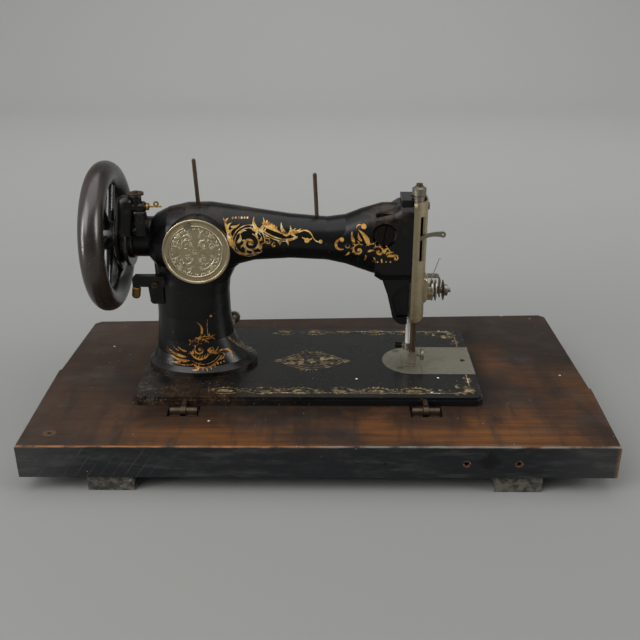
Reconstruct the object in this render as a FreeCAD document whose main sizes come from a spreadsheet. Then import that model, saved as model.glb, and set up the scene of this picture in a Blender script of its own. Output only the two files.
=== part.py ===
"""Antique lock-stitch sewing machine on its wooden base board, in millimetres.

The part frame has +X towards the needle end, +Y away from the hinges, +Z up and its
origin on the floor under the middle of the base board.  Most metal pieces are drawn in
the machine frame, which starts at the bed's wheel-end corner on the hinge side, level
with the top of the bed.
"""
import FreeCAD, Part
import os
import re
import Sketcher
from FreeCAD import Placement, Rotation, Vector

SIZES = {
    # wooden base board, two planks round a well
    "board_length": 593,
    "board_depth": 319,
    "board_thick": 35.5,
    "board_arris": 2.5,
    "near_left_inset": 4.9,
    "near_right_inset": 3.7,
    "near_skew": 2.5,
    "far_left_inset": 6.9,
    "far_right_inset": 6,
    "far_skew": 22.8,
    "far_corner": 7,
    "plank_step": 2,
    "joint_gap": 0.4,
    "joint_left": 0.3,
    "joint_left_rise": 6.5,
    "joint_right": -40.4,
    "well_margin_x": 17,
    "well_margin_y": 12,
    "edge_hole": 5,
    "edge_hole_deep": 14,
    "edge_hole_height": 16,
    "edge_hole_first": 145.7,
    "edge_hole_pitch": 50.6,
    # battens under the board
    "batten_height": 18.5,
    "batten_width": 46,
    "batten_inset": 5,
    "batten_long": 286,
    "batten_left": -203.6,
    "batten_right": 198.6,
    "wood_screw": 4.5,
    "wood_screw_head": 9,
    "wood_screw_long": 38,
    "wood_screw_spread": 24,
    "screw_from_end": 23,
    "screw_from_joint": 14,
    # bed casting
    "bed_left": -195,
    "bed_near": -80,
    "bed_length": 368.3,
    "bed_depth": 177.8,
    "bed_rim": 8.7,
    "bed_corner": 9,
    "bed_step": 2.2,
    "bed_step_drop": 3,
    "bed_skin": 4.5,
    "rim_wall": 9,
    "seat_gap": 0.3,
    # hinges of the bed
    "hinge_first": 56.3,
    "hinge_pitch": 250.7,
    "hinge_back": 10,
    "leaf_back": 11.5,
    "leaf_front": 7,
    "leaf_notch": 6.2,
    "leaf_screw_back": 8,
    "hinge_width": 28,
    "hinge_plate": 2.5,
    "hinge_barrel": 7,
    "hinge_pin": 3.2,
    "knuckle_width": 5.5,
    "knuckle_eye": 10,
    "knuckle_stud": 5.4,
    "recess_deep": 6,
    "recess_slack": 2.5,
    # fits
    "running_fit": 0.05,
    "slide_gap": 0.3,
    # pillar and arm casting
    "flange_left": 3,
    "flange_right": 125,
    "flange_half": 43,
    "flange_thick": 5,
    "pillar_left": 17.5,
    "pillar_right": 97.5,
    "pillar_half": 31.5,
    "arm_end": 262,
    "arm_half": 23,
    "boss_dia": 43,
    "boss_reach": 16,
    "tunnel_dia": 26,
    "bushing_dia": 22,
    "bushing_reach": 19,
    "boss_start": 1.5,
    "arm_bolt": 8,
    "arm_bolt_long": 8.5,
    "cover_x": 69.6,
    "cover_drop": 4.9,
    "cover_dia": 70,
    "cover_thick": 2.4,
    "cover_seat": 52.5,
    "cover_port": 50,
    "cover_screw": 4,
    "spool_pin_dia": 4.2,
    # head of the arm
    "head_end": 294,
    "head_half": 25,
    "nose_half": 21,
    "nose_low": 54,
    "head_top": 186,
    "cap_top": 191.5,
    "cap_half": 17,
    "web_low": 100,
    "web_high": 110,
    "head_round": 11,
    "head_room": 21.4,
    "nose_wall": 6,
    "nose_end": 291.2,
    "nose_recess": 4,
    "port_dia": 26,
    "lever_ahead": 19.6,
    "lever_thick": 2.6,
    "lever_stud": 7,
    "lever_hub": 17,
    "lever_reach": 60.6,
    "lever_drop": 0.6,
    "face_low": 56,
    "face_high": 190,
    "face_screw_z": 177.5,
    "face_half": 22,
    "face_flange": 3,
    "face_skin": 1.6,
    "face_deep": 16,
    "face_round": 15.5,
    "face_foot": 6,
    "flange_out": 3,
    "slot_low": 126,
    "slot_high": 174.5,
    "face_screw": 4,
    "face_screw_head": 8,
    "port_x": 264.5,
    "port_z": 156,
    # shaft and handwheel
    "shaft_height": 147.5,
    "shaft_dia": 14,
    "wheel_x": -29.5,
    "wheel_ring": 67.3,
    "wheel_tube": 12.5,
    "hub_dia": 33,
    "pulley_dia": 64,
    "groove_deep": 5,
    "pulley_start": -16.5,
    "pulley_wide": 13,
    "pulley_step": 46,
    "spoke_dia": 12,
    "shaft_start": -41,
    "crank_throw": 13.5,
    "knob_dia": 42,
    # bars
    "needle_x": 295.3,
    "needle_bar_dia": 6.4,
    "needle_bar_low": 15,
    "needle_bar_high": 188,
    "clamp_dia": 11,
    "clamp_high": 8,
    "needle_dia": 1.5,
    "needle_shank": 2.1,
    "needle_grip": 12,
    "needle_tip": -10,
    "presser_x": 299.3,
    "presser_ahead": 12.4,
    "presser_bar_dia": 6.6,
    "presser_bar_high": 208,
    "needle_bushing": 9.4,
    "bushing_long": 30,
    "regulator_neck": 9,
    "regulator_foot": 5,
    "regulator_dia": 14.4,
    "foot_sole": 1.7,
    "foot_high": 17,
    "foot_block": 9.6,
    "foot_wide": 15,
    "foot_offset": 3.3,
    "foot_toe": 24,
    "foot_slot": 3.4,
    "foot_screw": 3.6,
    "foot_screw_head": 13,
    "foot_screw_z": 13.4,
    "foot_screw_out": 9.2,
    # upper tension
    "tension_z": 86,
    "tension_face": 313.4,
    "block_top": 104,
    "block_half": 12.5,
    "drum_dia": 22,
    "drum_end": 318.4,
    "coil_dia": 15,
    "check_wire": 1.1,
    "tension_stud": 5,
    "stud_end": 339.2,
    "disc_x": 320.8,
    "tension_disc": 23.6,
    "spring_long": 8.5,
    "dial_dia": 22,
    "nut_dia": 12.4,
    "guard_x": 327.4,
    "guard_z": 103.2,
    "guard_thick": 1.2,
    "guard_wide": 11.6,
    # small fittings on the arm
    "cover_screw_head": 7.5,
    "spool_pin_long": 53,
    "finger_hole": 6,
    "stitch_knob": 14,
    "stitch_height": 35.3,
    "regulator_reach": 39,
    "clamp_screw_head": 7,
    "winder_x": -1.5,
    "winder_y": 50,
    "winder_rise": 44,
    "winder_pin": 4.5,
    "winder_shaft": 4.6,
    "winder_boss": 11,
    "bell_low": 9,
    "bell_top": 8.3,
    "bell_high": 40.5,
    "side_x": -3,
    "side_y": 69,
    "side_z": 98.5,
    "side_high": 12,
    "side_screw": 4,
    "side_screw_head": 7,
    # plates on the bed
    "plate_width": 67.5,
    "plate_thick": 2.2,
    "plate_centre": 300.7,
    "plate_seam": 309.5,
    "plate_ledge": 4.5,
    "tooth_row": 5,
    "tooth_width": 3.2,
    # shafts and lugs under the bed
    "lug_first": 100,
    "lug_second": 250,
    "lug_thick": 12,
    "lug_wall": 4,
    "feed_shaft": 8,
    "hook_shaft": 9.5,
    "hook_shaft_start": 90,
    "hook_x": 286,
    "hook_dia": 36,
    "hook_wide": 8.5,
    "race_dia": 45,
    "case_dia": 24,
    "case_wall": 1.2,
    "case_deep": 13.5,
    "case_post": 4.4,
    "feed_bar_x": 272.8,
    "feed_bar_wide": 8,
    "feed_bar_high": 7.5,
    "feed_top": 6.5,
    "dog_long": 17,
    "dog_thick": 3.4,
    "tooth_tip": 6.1,
    "tooth_deep": 1.1,
}

doc = FreeCAD.newDocument("SewingMachine")
sheet = doc.addObject("Spreadsheet::Sheet", "Sizes")
for row, (alias, size) in enumerate(SIZES.items(), start=1):
    sheet.set(f"A{row}", alias)
    sheet.set(f"B{row}", str(size))
    sheet.setAlias(f"B{row}", alias)
doc.recompute()
WORD = re.compile(r"\b(" + "|".join(SIZES) + r")\b")

# Places that several sub-parts share, as formulas of the sheet's sizes.
BOARD_TOP = "(batten_height + board_thick)"
BED_TOP = f"({BOARD_TOP} + seat_gap + bed_rim)"
WELL_LEFT = "(bed_left + well_margin_x)"
WELL_RIGHT = "(bed_left + bed_length - well_margin_x)"
WELL_NEAR = "(bed_near + well_margin_y)"
WELL_FAR = "(bed_near + bed_depth - well_margin_y)"
MIDDLE = "(bed_depth / 2)"
WINDER_Z = "(shaft_height + winder_rise)"
COVER_Z = "(shaft_height - cover_drop)"
ARC = 1 - 0.5 ** 0.5

ALONG_X = Rotation(Vector(0, 1, 0), 90)
TOWARDS_HINGES = Rotation(Vector(1, 0, 0), 90)
AWAY_FROM_HINGES = Rotation(Vector(1, 0, 0), -90)
UPRIGHT = Rotation()
STUD_TURN = TOWARDS_HINGES * Rotation(Vector(0, 0, 1), 80)
BELL_LEAN = Rotation(Vector(0, 1, 0), 9)

subparts = {}


def formula(text):
    """The text as an expression that reads the sheet."""
    return WORD.sub(r"Sizes.\1", str(text))


def number(text):
    """What the formula comes to now, as a start value for the sketcher."""
    return float(sheet.evalExpression(formula(text)))


def bind(thing, **sizes):
    """Bind properties to formulas; a double underscore stands for a dot."""
    for name, text in sizes.items():
        thing.setExpression(name.replace("__", "."), formula(text))


def place(thing, x=0, y=0, z=0, turn=UPRIGHT):
    """Turn a thing and stand its own origin at x, y, z."""
    thing.Placement = Placement(Vector(), turn)
    bind(thing, Placement__Base__x=x, Placement__Base__y=y, Placement__Base__z=z)
    return thing


def machine(thing, x=0, y=0, z=0, turn=UPRIGHT):
    """Stand a thing in the machine frame."""
    return place(thing, f"bed_left + {x}", f"bed_near + {y}", f"{BED_TOP} + {z}", turn)


def keep(label, thing):
    """Name a finished sub-part."""
    thing.Label = label
    subparts[label] = thing
    return thing


# Sketches -------------------------------------------------------------------------------

def new_body(name):
    return doc.addObject("PartDesign::Body", name)


def new_sketch(body, plane="XY_Plane", offset=0):
    """A sketch on one of the body's own origin planes, moved along the plane's normal."""
    sketch = body.newObject("Sketcher::SketchObject", body.Name + "_sketch")
    support = next(item for item in body.Origin.OriginFeatures if item.Role == plane)
    sketch.AttachmentSupport = [(support, "")]
    sketch.MapMode = "FlatFace"
    bind(sketch, AttachmentOffset__Base__z=offset)
    return sketch


def fix_point(sketch, geometry, end, x, y):
    """Hold a point of the sketch at x, y from the sketch's origin."""
    for kind, text in (("DistanceX", x), ("DistanceY", y)):
        constraint = Sketcher.Constraint(kind, -1, 1, geometry, end, number(text))
        index = sketch.addConstraint(constraint)
        sketch.setExpression(f"Constraints[{index}]", formula(text))


def outline(sketch, corners):
    """A closed outline.  A corner is (x, y); with a third and fourth formula the side
    that starts there is an arc through that point."""
    starts = []
    for corner, following in zip(corners, corners[1:] + corners[:1]):
        here = Vector(number(corner[0]), number(corner[1]), 0)
        there = Vector(number(following[0]), number(following[1]), 0)
        if len(corner) == 4:
            through = Vector(number(corner[2]), number(corner[3]), 0)
            side = sketch.addGeometry(Part.Arc(here, through, there))
            first_end = (sketch.getPoint(side, 1) - here).Length
            second_end = (sketch.getPoint(side, 2) - here).Length
            starts.append((side, 1 if first_end < second_end else 2))
        else:
            starts.append((sketch.addGeometry(Part.LineSegment(here, there)), 1))
    for index, corner in enumerate(corners):
        side, end = starts[index]
        following, start = starts[(index + 1) % len(corners)]
        sketch.addConstraint(Sketcher.Constraint("Coincident", side, 3 - end, following, start))
        fix_point(sketch, side, end, corner[0], corner[1])
        if len(corner) == 4:
            through = Vector(number(corner[2]), number(corner[3]), 0)
            point = sketch.addGeometry(Part.Point(through), True)
            fix_point(sketch, point, 1, corner[2], corner[3])
            sketch.addConstraint(Sketcher.Constraint("PointOnObject", point, 1, side))
    return sketch


def circle(sketch, x, y, diameter):
    centre = Vector(number(x), number(y), 0)
    ring = sketch.addGeometry(Part.Circle(centre, Vector(0, 0, 1), number(diameter) / 2))
    fix_point(sketch, ring, 3, x, y)
    index = sketch.addConstraint(Sketcher.Constraint("Diameter", ring, number(diameter)))
    sketch.setExpression(f"Constraints[{index}]", formula(diameter))
    return sketch


def rectangle(x0, x1, y0, y1):
    return [(x0, y0), (x1, y0), (x1, y1), (x0, y1)]


def rounded(x0, x1, y0, y1, radius):
    """Corners of a rectangle with round corners."""
    left, right, low, high = f"({x0} + {radius})", f"({x1} - {radius})", \
        f"({y0} + {radius})", f"({y1} - {radius})"
    near = f"{radius} * {ARC}"
    return [
        (left, y0),
        (right, y0, f"{x1} - {near}", f"{y0} + {near}"),
        (x1, low),
        (x1, high, f"{x1} - {near}", f"{y1} - {near}"),
        (right, y1),
        (left, y1, f"{x0} + {near}", f"{y1} - {near}"),
        (x0, high),
        (x0, low, f"{x0} + {near}", f"{y0} + {near}"),
    ]


# Features -------------------------------------------------------------------------------

def pad(body, sketch, length, reverse=False):
    feature = body.newObject("PartDesign::Pad", body.Name + "_pad")
    feature.Profile = sketch
    feature.Reversed = reverse
    bind(feature, Length=length)
    sketch.Visibility = False
    return feature


def pocket(body, sketch, length, reverse=False):
    """Cut the sketch into the body and make sure that it met the metal."""
    doc.recompute()
    before = body.Shape.Volume
    feature = body.newObject("PartDesign::Pocket", body.Name + "_pocket")
    feature.Profile = sketch
    feature.Reversed = reverse
    bind(feature, Length=length)
    doc.recompute()
    if body.Shape.Volume >= before:
        raise ValueError(f"{feature.Name} cuts nothing")
    return feature


def spin(body, sketch, angle=360):
    """Revolve the sketch about its own upright axis."""
    feature = body.newObject("PartDesign::Revolution", body.Name + "_revolution")
    feature.Profile = sketch
    feature.ReferenceAxis = (sketch, ["V_Axis"])
    feature.Angle = angle
    return feature


def edges_where(shape, test):
    """Names of the edges whose middle point passes the test."""
    names = []
    for index, edge in enumerate(shape.Edges, start=1):
        if test(edge.valueAt((edge.FirstParameter + edge.LastParameter) / 2)):
            names.append(f"Edge{index}")
    return names


def dress(body, kind, test, size):
    """Fillet or chamfer the edges that pass the test."""
    doc.recompute()
    base = body.Tip
    feature = body.newObject("PartDesign::" + kind, body.Name + "_" + kind.lower())
    feature.Base = (base, edges_where(base.Shape, test))
    bind(feature, **{"Radius" if kind == "Fillet" else "Size": size})
    return feature


def plate(label, corners, thick, plane="XY_Plane", offset=0, holes=()):
    """A padded outline with round holes (x, y, diameter)."""
    body = new_body(label)
    sketch = outline(new_sketch(body, plane, offset), corners)
    for hole in holes:
        circle(sketch, *hole)
    pad(body, sketch, thick)
    return body


def turned(label, profile):
    """A turned piece: its half profile as (radius, height) about its own Z axis."""
    body = new_body(label)
    spin(body, outline(new_sketch(body, "XZ_Plane"), profile))
    return body


def rod(diameter, length):
    thing = doc.addObject("Part::Cylinder", "Rod")
    bind(thing, Radius=f"({diameter}) / 2", Height=length)
    return thing


def box(width, depth, height):
    thing = doc.addObject("Part::Box", "Block")
    bind(thing, Length=width, Width=depth, Height=height)
    return thing


def fuse(*pieces):
    thing = doc.addObject("Part::MultiFuse", "Fusion")
    thing.Shapes = list(pieces)
    thing.Refine = True
    return thing


def cut(base, *tools):
    thing = doc.addObject("Part::Cut", "Cut")
    thing.Base = base
    thing.Tool = tools[0] if len(tools) == 1 else fuse(*tools)
    thing.Refine = True
    return thing


def group(*pieces):
    thing = doc.addObject("Part::Compound", "Group")
    thing.Links = list(pieces)
    return thing


def slotted_screw(head, head_thick, shank, length, slot=1):
    """A cheese-head screw, head up, with the underside of its head at its own origin."""
    head_piece = rod(head, head_thick)
    shank_piece = place(rod(shank, length), z=f"-({length})")
    cutter = place(box(f"{head} + 2", slot, f"{head_thick} / 2"),
                   f"-({head}) / 2 - 1", f"-({slot}) / 2", f"{head_thick} / 2")
    return cut(fuse(head_piece, shank_piece), cutter)


def countersunk_screw(head, shank, length, slot=0.9):
    """A countersunk screw with its flat head level with its own origin."""
    sink = f"(({head} - {shank}) / 2)"
    head_piece = doc.addObject("Part::Cone", "Head")
    bind(head_piece, Radius1=f"{shank} / 2", Radius2=f"{head} / 2", Height=sink)
    place(head_piece, z=f"-{sink}")
    shank_piece = place(rod(shank, length), z=f"-({length})")
    cutter = place(box(f"{head} + 2", slot, f"{sink} / 2"),
                   f"-({head}) / 2 - 1", f"-({slot}) / 2", f"-{sink} / 2")
    return cut(fuse(head_piece, shank_piece), cutter)


# The base board ---------------------------------------------------------------------------

def hinge_x(index):
    return f"(hinge_first + {index} * hinge_pitch)"


BATTENS = ("batten_left", "batten_right")
NEAR_ROWS = ("-board_depth / 2 + batten_inset + screw_from_end",
             "joint_right - screw_from_joint")
FAR_ROWS = ("joint_left + joint_left_rise + screw_from_joint",
            "-board_depth / 2 + batten_inset + batten_long - screw_from_end")


def batten_screw_places(rows, station):
    """Middle of each screw of these rows, alternating across the batten."""
    for side, y in zip((-1, 1) * 2, rows):
        yield f"({station} + {side} * wood_screw_spread / 2)", f"({y})"


def plank(label, corners, hinged):
    """One plank of the board, with the seats of what is screwed to it."""
    body = new_body(label)
    pad(body, outline(new_sketch(body), corners), "board_thick")
    top = number("board_thick")
    outer_far = number("board_depth / 2 - far_skew - 1")
    outer_end = number("board_length / 2 - far_right_inset - 1")
    near = number("-board_depth / 2 + near_skew + 1")

    def top_edge(middle):
        outer = abs(middle.x) > outer_end - 12 or middle.y > outer_far or middle.y < near
        return abs(middle.z - top) < 0.01 and outer
    dress(body, "Fillet", top_edge, "board_arris")
    sketch = new_sketch(body)
    for station in BATTENS:
        for x, y in batten_screw_places(NEAR_ROWS if hinged else FAR_ROWS, station):
            circle(sketch, x, y, "wood_screw")
    pocket(body, sketch, "wood_screw_long - batten_height + 1", reverse=True)
    if hinged:
        for index in (0, 1):
            sketch = new_sketch(body, offset="board_thick")
            x = f"(bed_left + {hinge_x(index)})"
            half = "(hinge_width / 2 + recess_slack)"
            outline(sketch, rectangle(f"{x} - {half}", f"{x} + {half}",
                                      "bed_near - hinge_back - leaf_back - 1", "bed_near + 1"))
            pocket(body, sketch, "recess_deep")
        sketch = new_sketch(body, "XZ_Plane", "board_depth / 2 - near_skew / 2")
        for index in (0, 1):
            circle(sketch, f"edge_hole_first + {index} * edge_hole_pitch",
                   "edge_hole_height", "edge_hole")
        pocket(body, sketch, "edge_hole_deep", reverse=False)
    place(body, z="batten_height")
    return keep(label, body)


def base_board():
    half_x, half_y = "board_length / 2", "board_depth / 2"
    plank("plank_near", [
        (f"-{half_x} + near_left_inset", f"-{half_y}"),
        (f"{half_x} - near_right_inset", f"-{half_y} + near_skew"),
        (half_x, "joint_right"),
        (WELL_RIGHT, "joint_right"),
        (WELL_RIGHT, WELL_NEAR),
        (WELL_LEFT, WELL_NEAR),
        (WELL_LEFT, "joint_left + joint_left_rise"),
        (f"-{half_x}", "joint_left"),
    ], hinged=True)
    plank("plank_far", [
        (f"-{half_x} + plank_step", "joint_left + joint_gap"),
        (WELL_LEFT, "joint_left + joint_left_rise + joint_gap"),
        (WELL_LEFT, WELL_FAR),
        (WELL_RIGHT, WELL_FAR),
        (WELL_RIGHT, "joint_right + joint_gap"),
        (f"{half_x} - plank_step", "joint_right + joint_gap"),
        (f"{half_x} - far_right_inset", f"{half_y} - far_corner"),
        (f"{half_x} - far_right_inset - far_corner", half_y),
        (f"-{half_x} + far_left_inset + far_corner", f"{half_y} - far_skew"),
        (f"-{half_x} + far_left_inset", f"{half_y} - far_skew - far_corner"),
    ], hinged=False)
    for station in BATTENS:
        body = new_body(station + "_foot")
        sketch = outline(new_sketch(body), rectangle(
            f"{station} - batten_width / 2", f"{station} + batten_width / 2",
            "-board_depth / 2 + batten_inset", "-board_depth / 2 + batten_inset + batten_long"))
        pad(body, sketch, "batten_height")
        holes = new_sketch(body)
        sinks = new_sketch(body)
        for x, y in batten_screw_places(NEAR_ROWS + FAR_ROWS, station):
            circle(holes, x, y, "wood_screw")
            circle(sinks, x, y, "wood_screw_head + 0.4")
        pocket(body, holes, "batten_height + 1", reverse=True)
        pocket(body, sinks, "(wood_screw_head - wood_screw) / 2 + 0.2", reverse=True)
        keep(station, body)
    screws = []
    for station in BATTENS:
        for x, y in batten_screw_places(NEAR_ROWS + FAR_ROWS, station):
            screw = countersunk_screw("wood_screw_head", "wood_screw", "wood_screw_long")
            screws.append(place(screw, x, y, 0.2, Rotation(Vector(1, 0, 0), 180)))
    keep("batten_screws", group(*screws))


def hinges():
    """Two pin hinges let into the board; their knuckles carry the bed on studs."""
    barrel_long = "(hinge_width - knuckle_width) / 2 - slide_gap"
    leaves, pins, screws, knuckles = [], [], [], []
    for index in (0, 1):
        x, y, z = f"{hinge_x(index)}", "(-hinge_back)", "(-bed_rim - seat_gap)"
        half, notch = "(hinge_width / 2)", "(knuckle_width / 2 + 2 * slide_gap)"
        low = "(-recess_deep)"
        leaf = new_body("leaf")
        sketch = outline(new_sketch(leaf, offset=low), [
            (f"-{half}", "-leaf_back"), (half, "-leaf_back"), (half, "leaf_front"),
            (notch, "leaf_front"), (notch, "-leaf_notch"), (f"-{notch}", "-leaf_notch"),
            (f"-{notch}", "leaf_front"), (f"-{half}", "leaf_front")])
        pad(leaf, sketch, "hinge_plate")
        for start in (f"-{half}", "knuckle_width / 2 + slide_gap"):
            lug = outline(new_sketch(leaf, "YZ_Plane", start), [
                ("-hinge_barrel / 2", f"{low} + hinge_plate - 0.1"),
                ("hinge_barrel / 2", f"{low} + hinge_plate - 0.1"),
                ("hinge_barrel / 2", "0", "0", "hinge_barrel / 2"),
                ("-hinge_barrel / 2", "0")])
            pad(leaf, lug, barrel_long)
        bore = circle(new_sketch(leaf, "YZ_Plane", f"-{half} - 1"), 0, 0, "hinge_pin")
        pocket(leaf, bore, "hinge_width + 2", reverse=True)
        seats = new_sketch(leaf, offset=low)
        for offset in (-1, 1):
            circle(seats, f"{offset} * hinge_width * 0.34", "-leaf_screw_back", "3.2")
        pocket(leaf, seats, "hinge_plate + 1", reverse=True)
        leaves.append(machine(leaf, x, y, z))
        pins.append(machine(rod("hinge_pin", "hinge_width"), f"{x} - {half}", y, z, ALONG_X))
        for offset in (-1, 1):
            screw = slotted_screw(5.4, 1.2, 3.2, 2.4, 0.8)
            screws.append(machine(screw, f"{x} + {offset} * hinge_width * 0.34",
                                  f"{y} - leaf_screw_back", f"{z} - recess_deep + hinge_plate"))
        eye = place(rod("knuckle_eye", "knuckle_width"), "-knuckle_width / 2", 0, 0, ALONG_X)
        stud = place(rod("knuckle_stud", "hinge_back + rim_wall - 2"), 0, 0,
                     "bed_rim / 2 + seat_gap", AWAY_FROM_HINGES)
        hole = place(rod("hinge_pin + 2 * running_fit", "knuckle_width + 2"),
                     "-knuckle_width / 2 - 1", 0, 0, ALONG_X)
        knuckles.append(machine(cut(fuse(eye, stud), hole), x, y, z))
    keep("hinge_leaves", group(*leaves))
    keep("hinge_pins", group(*pins))
    keep("hinge_screws", group(*screws))
    keep("hinge_knuckles", group(*knuckles))


# Bed and the plates let into it -----------------------------------------------------------

NEEDLE_HOLE = "(needle_x + 0.7)"
PLATE_NEAR = f"({MIDDLE} - plate_width / 2)"
PLATE_FAR = f"({MIDDLE} + plate_width / 2)"
PLATE_SCREWS = (("(plate_centre - 17)", f"({MIDDLE} + plate_width / 2 - 10.2)"),
                ("(plate_centre - 14.8)", f"({MIDDLE} - plate_width / 2 + 14.7)"))
ARM_BOLTS = (("25", MIDDLE), ("98", f"{MIDDLE} - 20"), ("98", f"{MIDDLE} + 20"))


def plate_outline(right, slack):
    """The round-ended outline shared by the needle plate, its recess and the race port."""
    near, far = f"{PLATE_NEAR} - {slack}", f"{PLATE_FAR} + {slack}"
    return [("plate_centre", near), (right, near), (right, far),
            ("plate_centre", far, f"plate_centre - plate_width / 2 - {slack}", MIDDLE)]


def bed():
    """The flat bed: a stepped rim, a thin top and bearing lugs under it."""
    body = new_body("bed")
    foot = outline(new_sketch(body, offset="-bed_rim"),
                   rounded("0", "bed_length", "0", "bed_depth", "bed_corner"))
    pad(body, foot, "bed_rim - bed_step_drop")
    top = outline(new_sketch(body, offset="-bed_rim"),
                  rounded("bed_step", "(bed_length - bed_step)", "bed_step",
                          "(bed_depth - bed_step)", "(bed_corner - bed_step)"))
    pad(body, top, "bed_rim")
    hollow = outline(new_sketch(body, offset="-bed_rim"), rectangle(
        "rim_wall", "bed_length - rim_wall", "rim_wall", "bed_depth - rim_wall"))
    pocket(body, hollow, "bed_rim - bed_skin", reverse=True)
    for station in ("lug_first", "lug_second"):
        for y, z, bore in ((FEED_Y, FEED_Z, "feed_shaft"), (MIDDLE, HOOK_Z, "hook_shaft"),
                           (LIFT_Y, FEED_Z, "feed_shaft")):
            half = f"({bore} / 2 + lug_wall)"
            lug = outline(new_sketch(body, "YZ_Plane", station), [
                (f"{y} + {half}", z), (f"{y} + {half}", "-bed_skin + 0.5"),
                (f"{y} - {half}", "-bed_skin + 0.5"),
                (f"{y} - {half}", z, y, f"{z} - {half}")])
            pad(body, lug, "lug_thick")
    bores = new_sketch(body, "YZ_Plane", "lug_first - 1")
    for y, z, bore in ((FEED_Y, FEED_Z, "feed_shaft"), (MIDDLE, HOOK_Z, "hook_shaft"),
                       (LIFT_Y, FEED_Z, "feed_shaft")):
        circle(bores, y, z, f"{bore} + 2 * running_fit")
    pocket(body, bores, "lug_second - lug_first + lug_thick + 2", reverse=True)
    recess = outline(new_sketch(body), plate_outline("bed_length + 1", 0.15))
    pocket(body, recess, "plate_thick")
    port = outline(new_sketch(body), plate_outline("bed_length - 8", "-plate_ledge"))
    pocket(body, port, "bed_rim + 1")
    through = outline(new_sketch(body), rounded("36", "80", f"({MIDDLE} - 22)",
                                                f"({MIDDLE} + 22)", "8"))
    for x, y in ARM_BOLTS:
        circle(through, x, y, "arm_bolt + 0.1")
    for x, y in PLATE_SCREWS:
        circle(through, x, y, 4)
    pocket(body, through, "bed_rim + 1")
    studs = new_sketch(body, "XZ_Plane", "1")
    for index in (0, 1):
        circle(studs, hinge_x(index), "-bed_rim / 2", "knuckle_stud")
    pocket(body, studs, "rim_wall - 1")
    keep("bed", machine(body))


def bed_plates():
    needle_plate = plate("needle_plate", plate_outline("plate_seam", 0), "plate_thick",
                         offset="-plate_thick")
    slots = new_sketch(needle_plate)
    for row in (-1, 1):
        middle = f"({NEEDLE_HOLE} + {row} * tooth_row)"
        outline(slots, rectangle(f"{middle} - tooth_width / 2 - 0.7",
                                 f"{middle} + tooth_width / 2 + 0.7",
                                 f"{MIDDLE} - 13.5", f"{MIDDLE} + 13.5"))
    circle(slots, NEEDLE_HOLE, MIDDLE, 3)
    for x, y in PLATE_SCREWS:
        circle(slots, x, y, 4)
    pocket(needle_plate, slots, "plate_thick + 1")
    sinks = new_sketch(needle_plate)
    for x, y in PLATE_SCREWS:
        circle(sinks, x, y, 7.8)
    pocket(needle_plate, sinks, 1.2)
    keep("needle_plate", machine(needle_plate))
    keep("needle_plate_screws", group(*[
        machine(slotted_screw(7.6, 1.2, 4, 6, 1), x, y, -1.2) for x, y in PLATE_SCREWS]))
    slide_plate = plate("slide_plate", rectangle(
        "plate_seam + 0.2", "bed_length - 0.6", PLATE_NEAR, PLATE_FAR), "plate_thick - 0.1",
        offset="-plate_thick + 0.1", holes=[("bed_length - 10.5", MIDDLE, "finger_hole")])
    keep("slide_plate", machine(slide_plate))


# Arm casting ------------------------------------------------------------------------------

def ellipse(x, y, z, half_long, half_short, turn):
    ring = doc.addObject("Part::Ellipse", "Section")
    bind(ring, MajorRadius=half_long, MinorRadius=half_short)
    return place(ring, x, y, z, turn)


def loft(sections):
    thing = doc.addObject("Part::Loft", "Loft")
    thing.Sections = sections
    thing.Solid = True
    thing.Ruled = True
    return thing


ACROSS_ARM = Rotation(Vector(0, 0, 1), Vector(0, -1, 0), Vector(1, 0, 0), "ZXY")
# Along the arm: distance from the bed's end, depth below the shaft, rise above it and
# half width.
ARM_SECTIONS = (
    ("boss_reach", 23.5, 17.5, "arm_half - 2.5"),
    ("boss_reach + 8", 33.5, 25.5, "arm_half + 4"),
    ("boss_reach + 22", 39.5, 32.5, "arm_half + 8"),
    ("boss_reach + 42", 40.5, 37, "arm_half + 9.5"),
    ("boss_reach + 66", 38.5, 37.5, "arm_half + 9"),
    ("boss_reach + 90", 30.5, 34, "arm_half + 6"),
    ("boss_reach + 112", 25, 30.5, "arm_half + 2.5"),
    ("boss_reach + 150", 23, 24.7, "arm_half"),
    ("boss_reach + 188", 25, 21.3, "arm_half - 0.5"),
    ("arm_end - 38", 29.5, 24, "arm_half"),
    ("arm_end - 22", 35.5, 30.5, "arm_half + 1"),
    ("arm_end", 43.5, 37, "arm_half + 2"),
    ("arm_end + 19", 37.5, 37.3, "arm_half + 1"),
)
# Up the pillar: height, left, right and half depth.
PILLAR_SECTIONS = (
    (0, "flange_left", "flange_right", "flange_half"),
    ("flange_thick", "flange_left", "flange_right", "flange_half"),
    ("flange_thick + 5", "flange_left + 6", "flange_right - 9", "flange_half - 4.5"),
    ("flange_thick + 16", "flange_left + 10.5", "flange_right - 18", "pillar_half + 4"),
    ("flange_thick + 32", "pillar_left - 2", "pillar_right + 2.5", "pillar_half + 1.5"),
    ("flange_thick + 58", "pillar_left", "pillar_right", "pillar_half"),
    ("shaft_height - 59.5", "pillar_left", "pillar_right", "pillar_half"),
    ("shaft_height - 46.5", "pillar_left", "pillar_right + 1.8", "pillar_half"),
    ("shaft_height - 33.5", "pillar_left", "pillar_right + 8", "pillar_half - 1.5"),
    ("shaft_height - 26.5", "pillar_left", "pillar_right + 17", "pillar_half - 4"),
    ("shaft_height - 21.5", "pillar_left + 1", "pillar_right + 31", "pillar_half - 7"),
)


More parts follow.
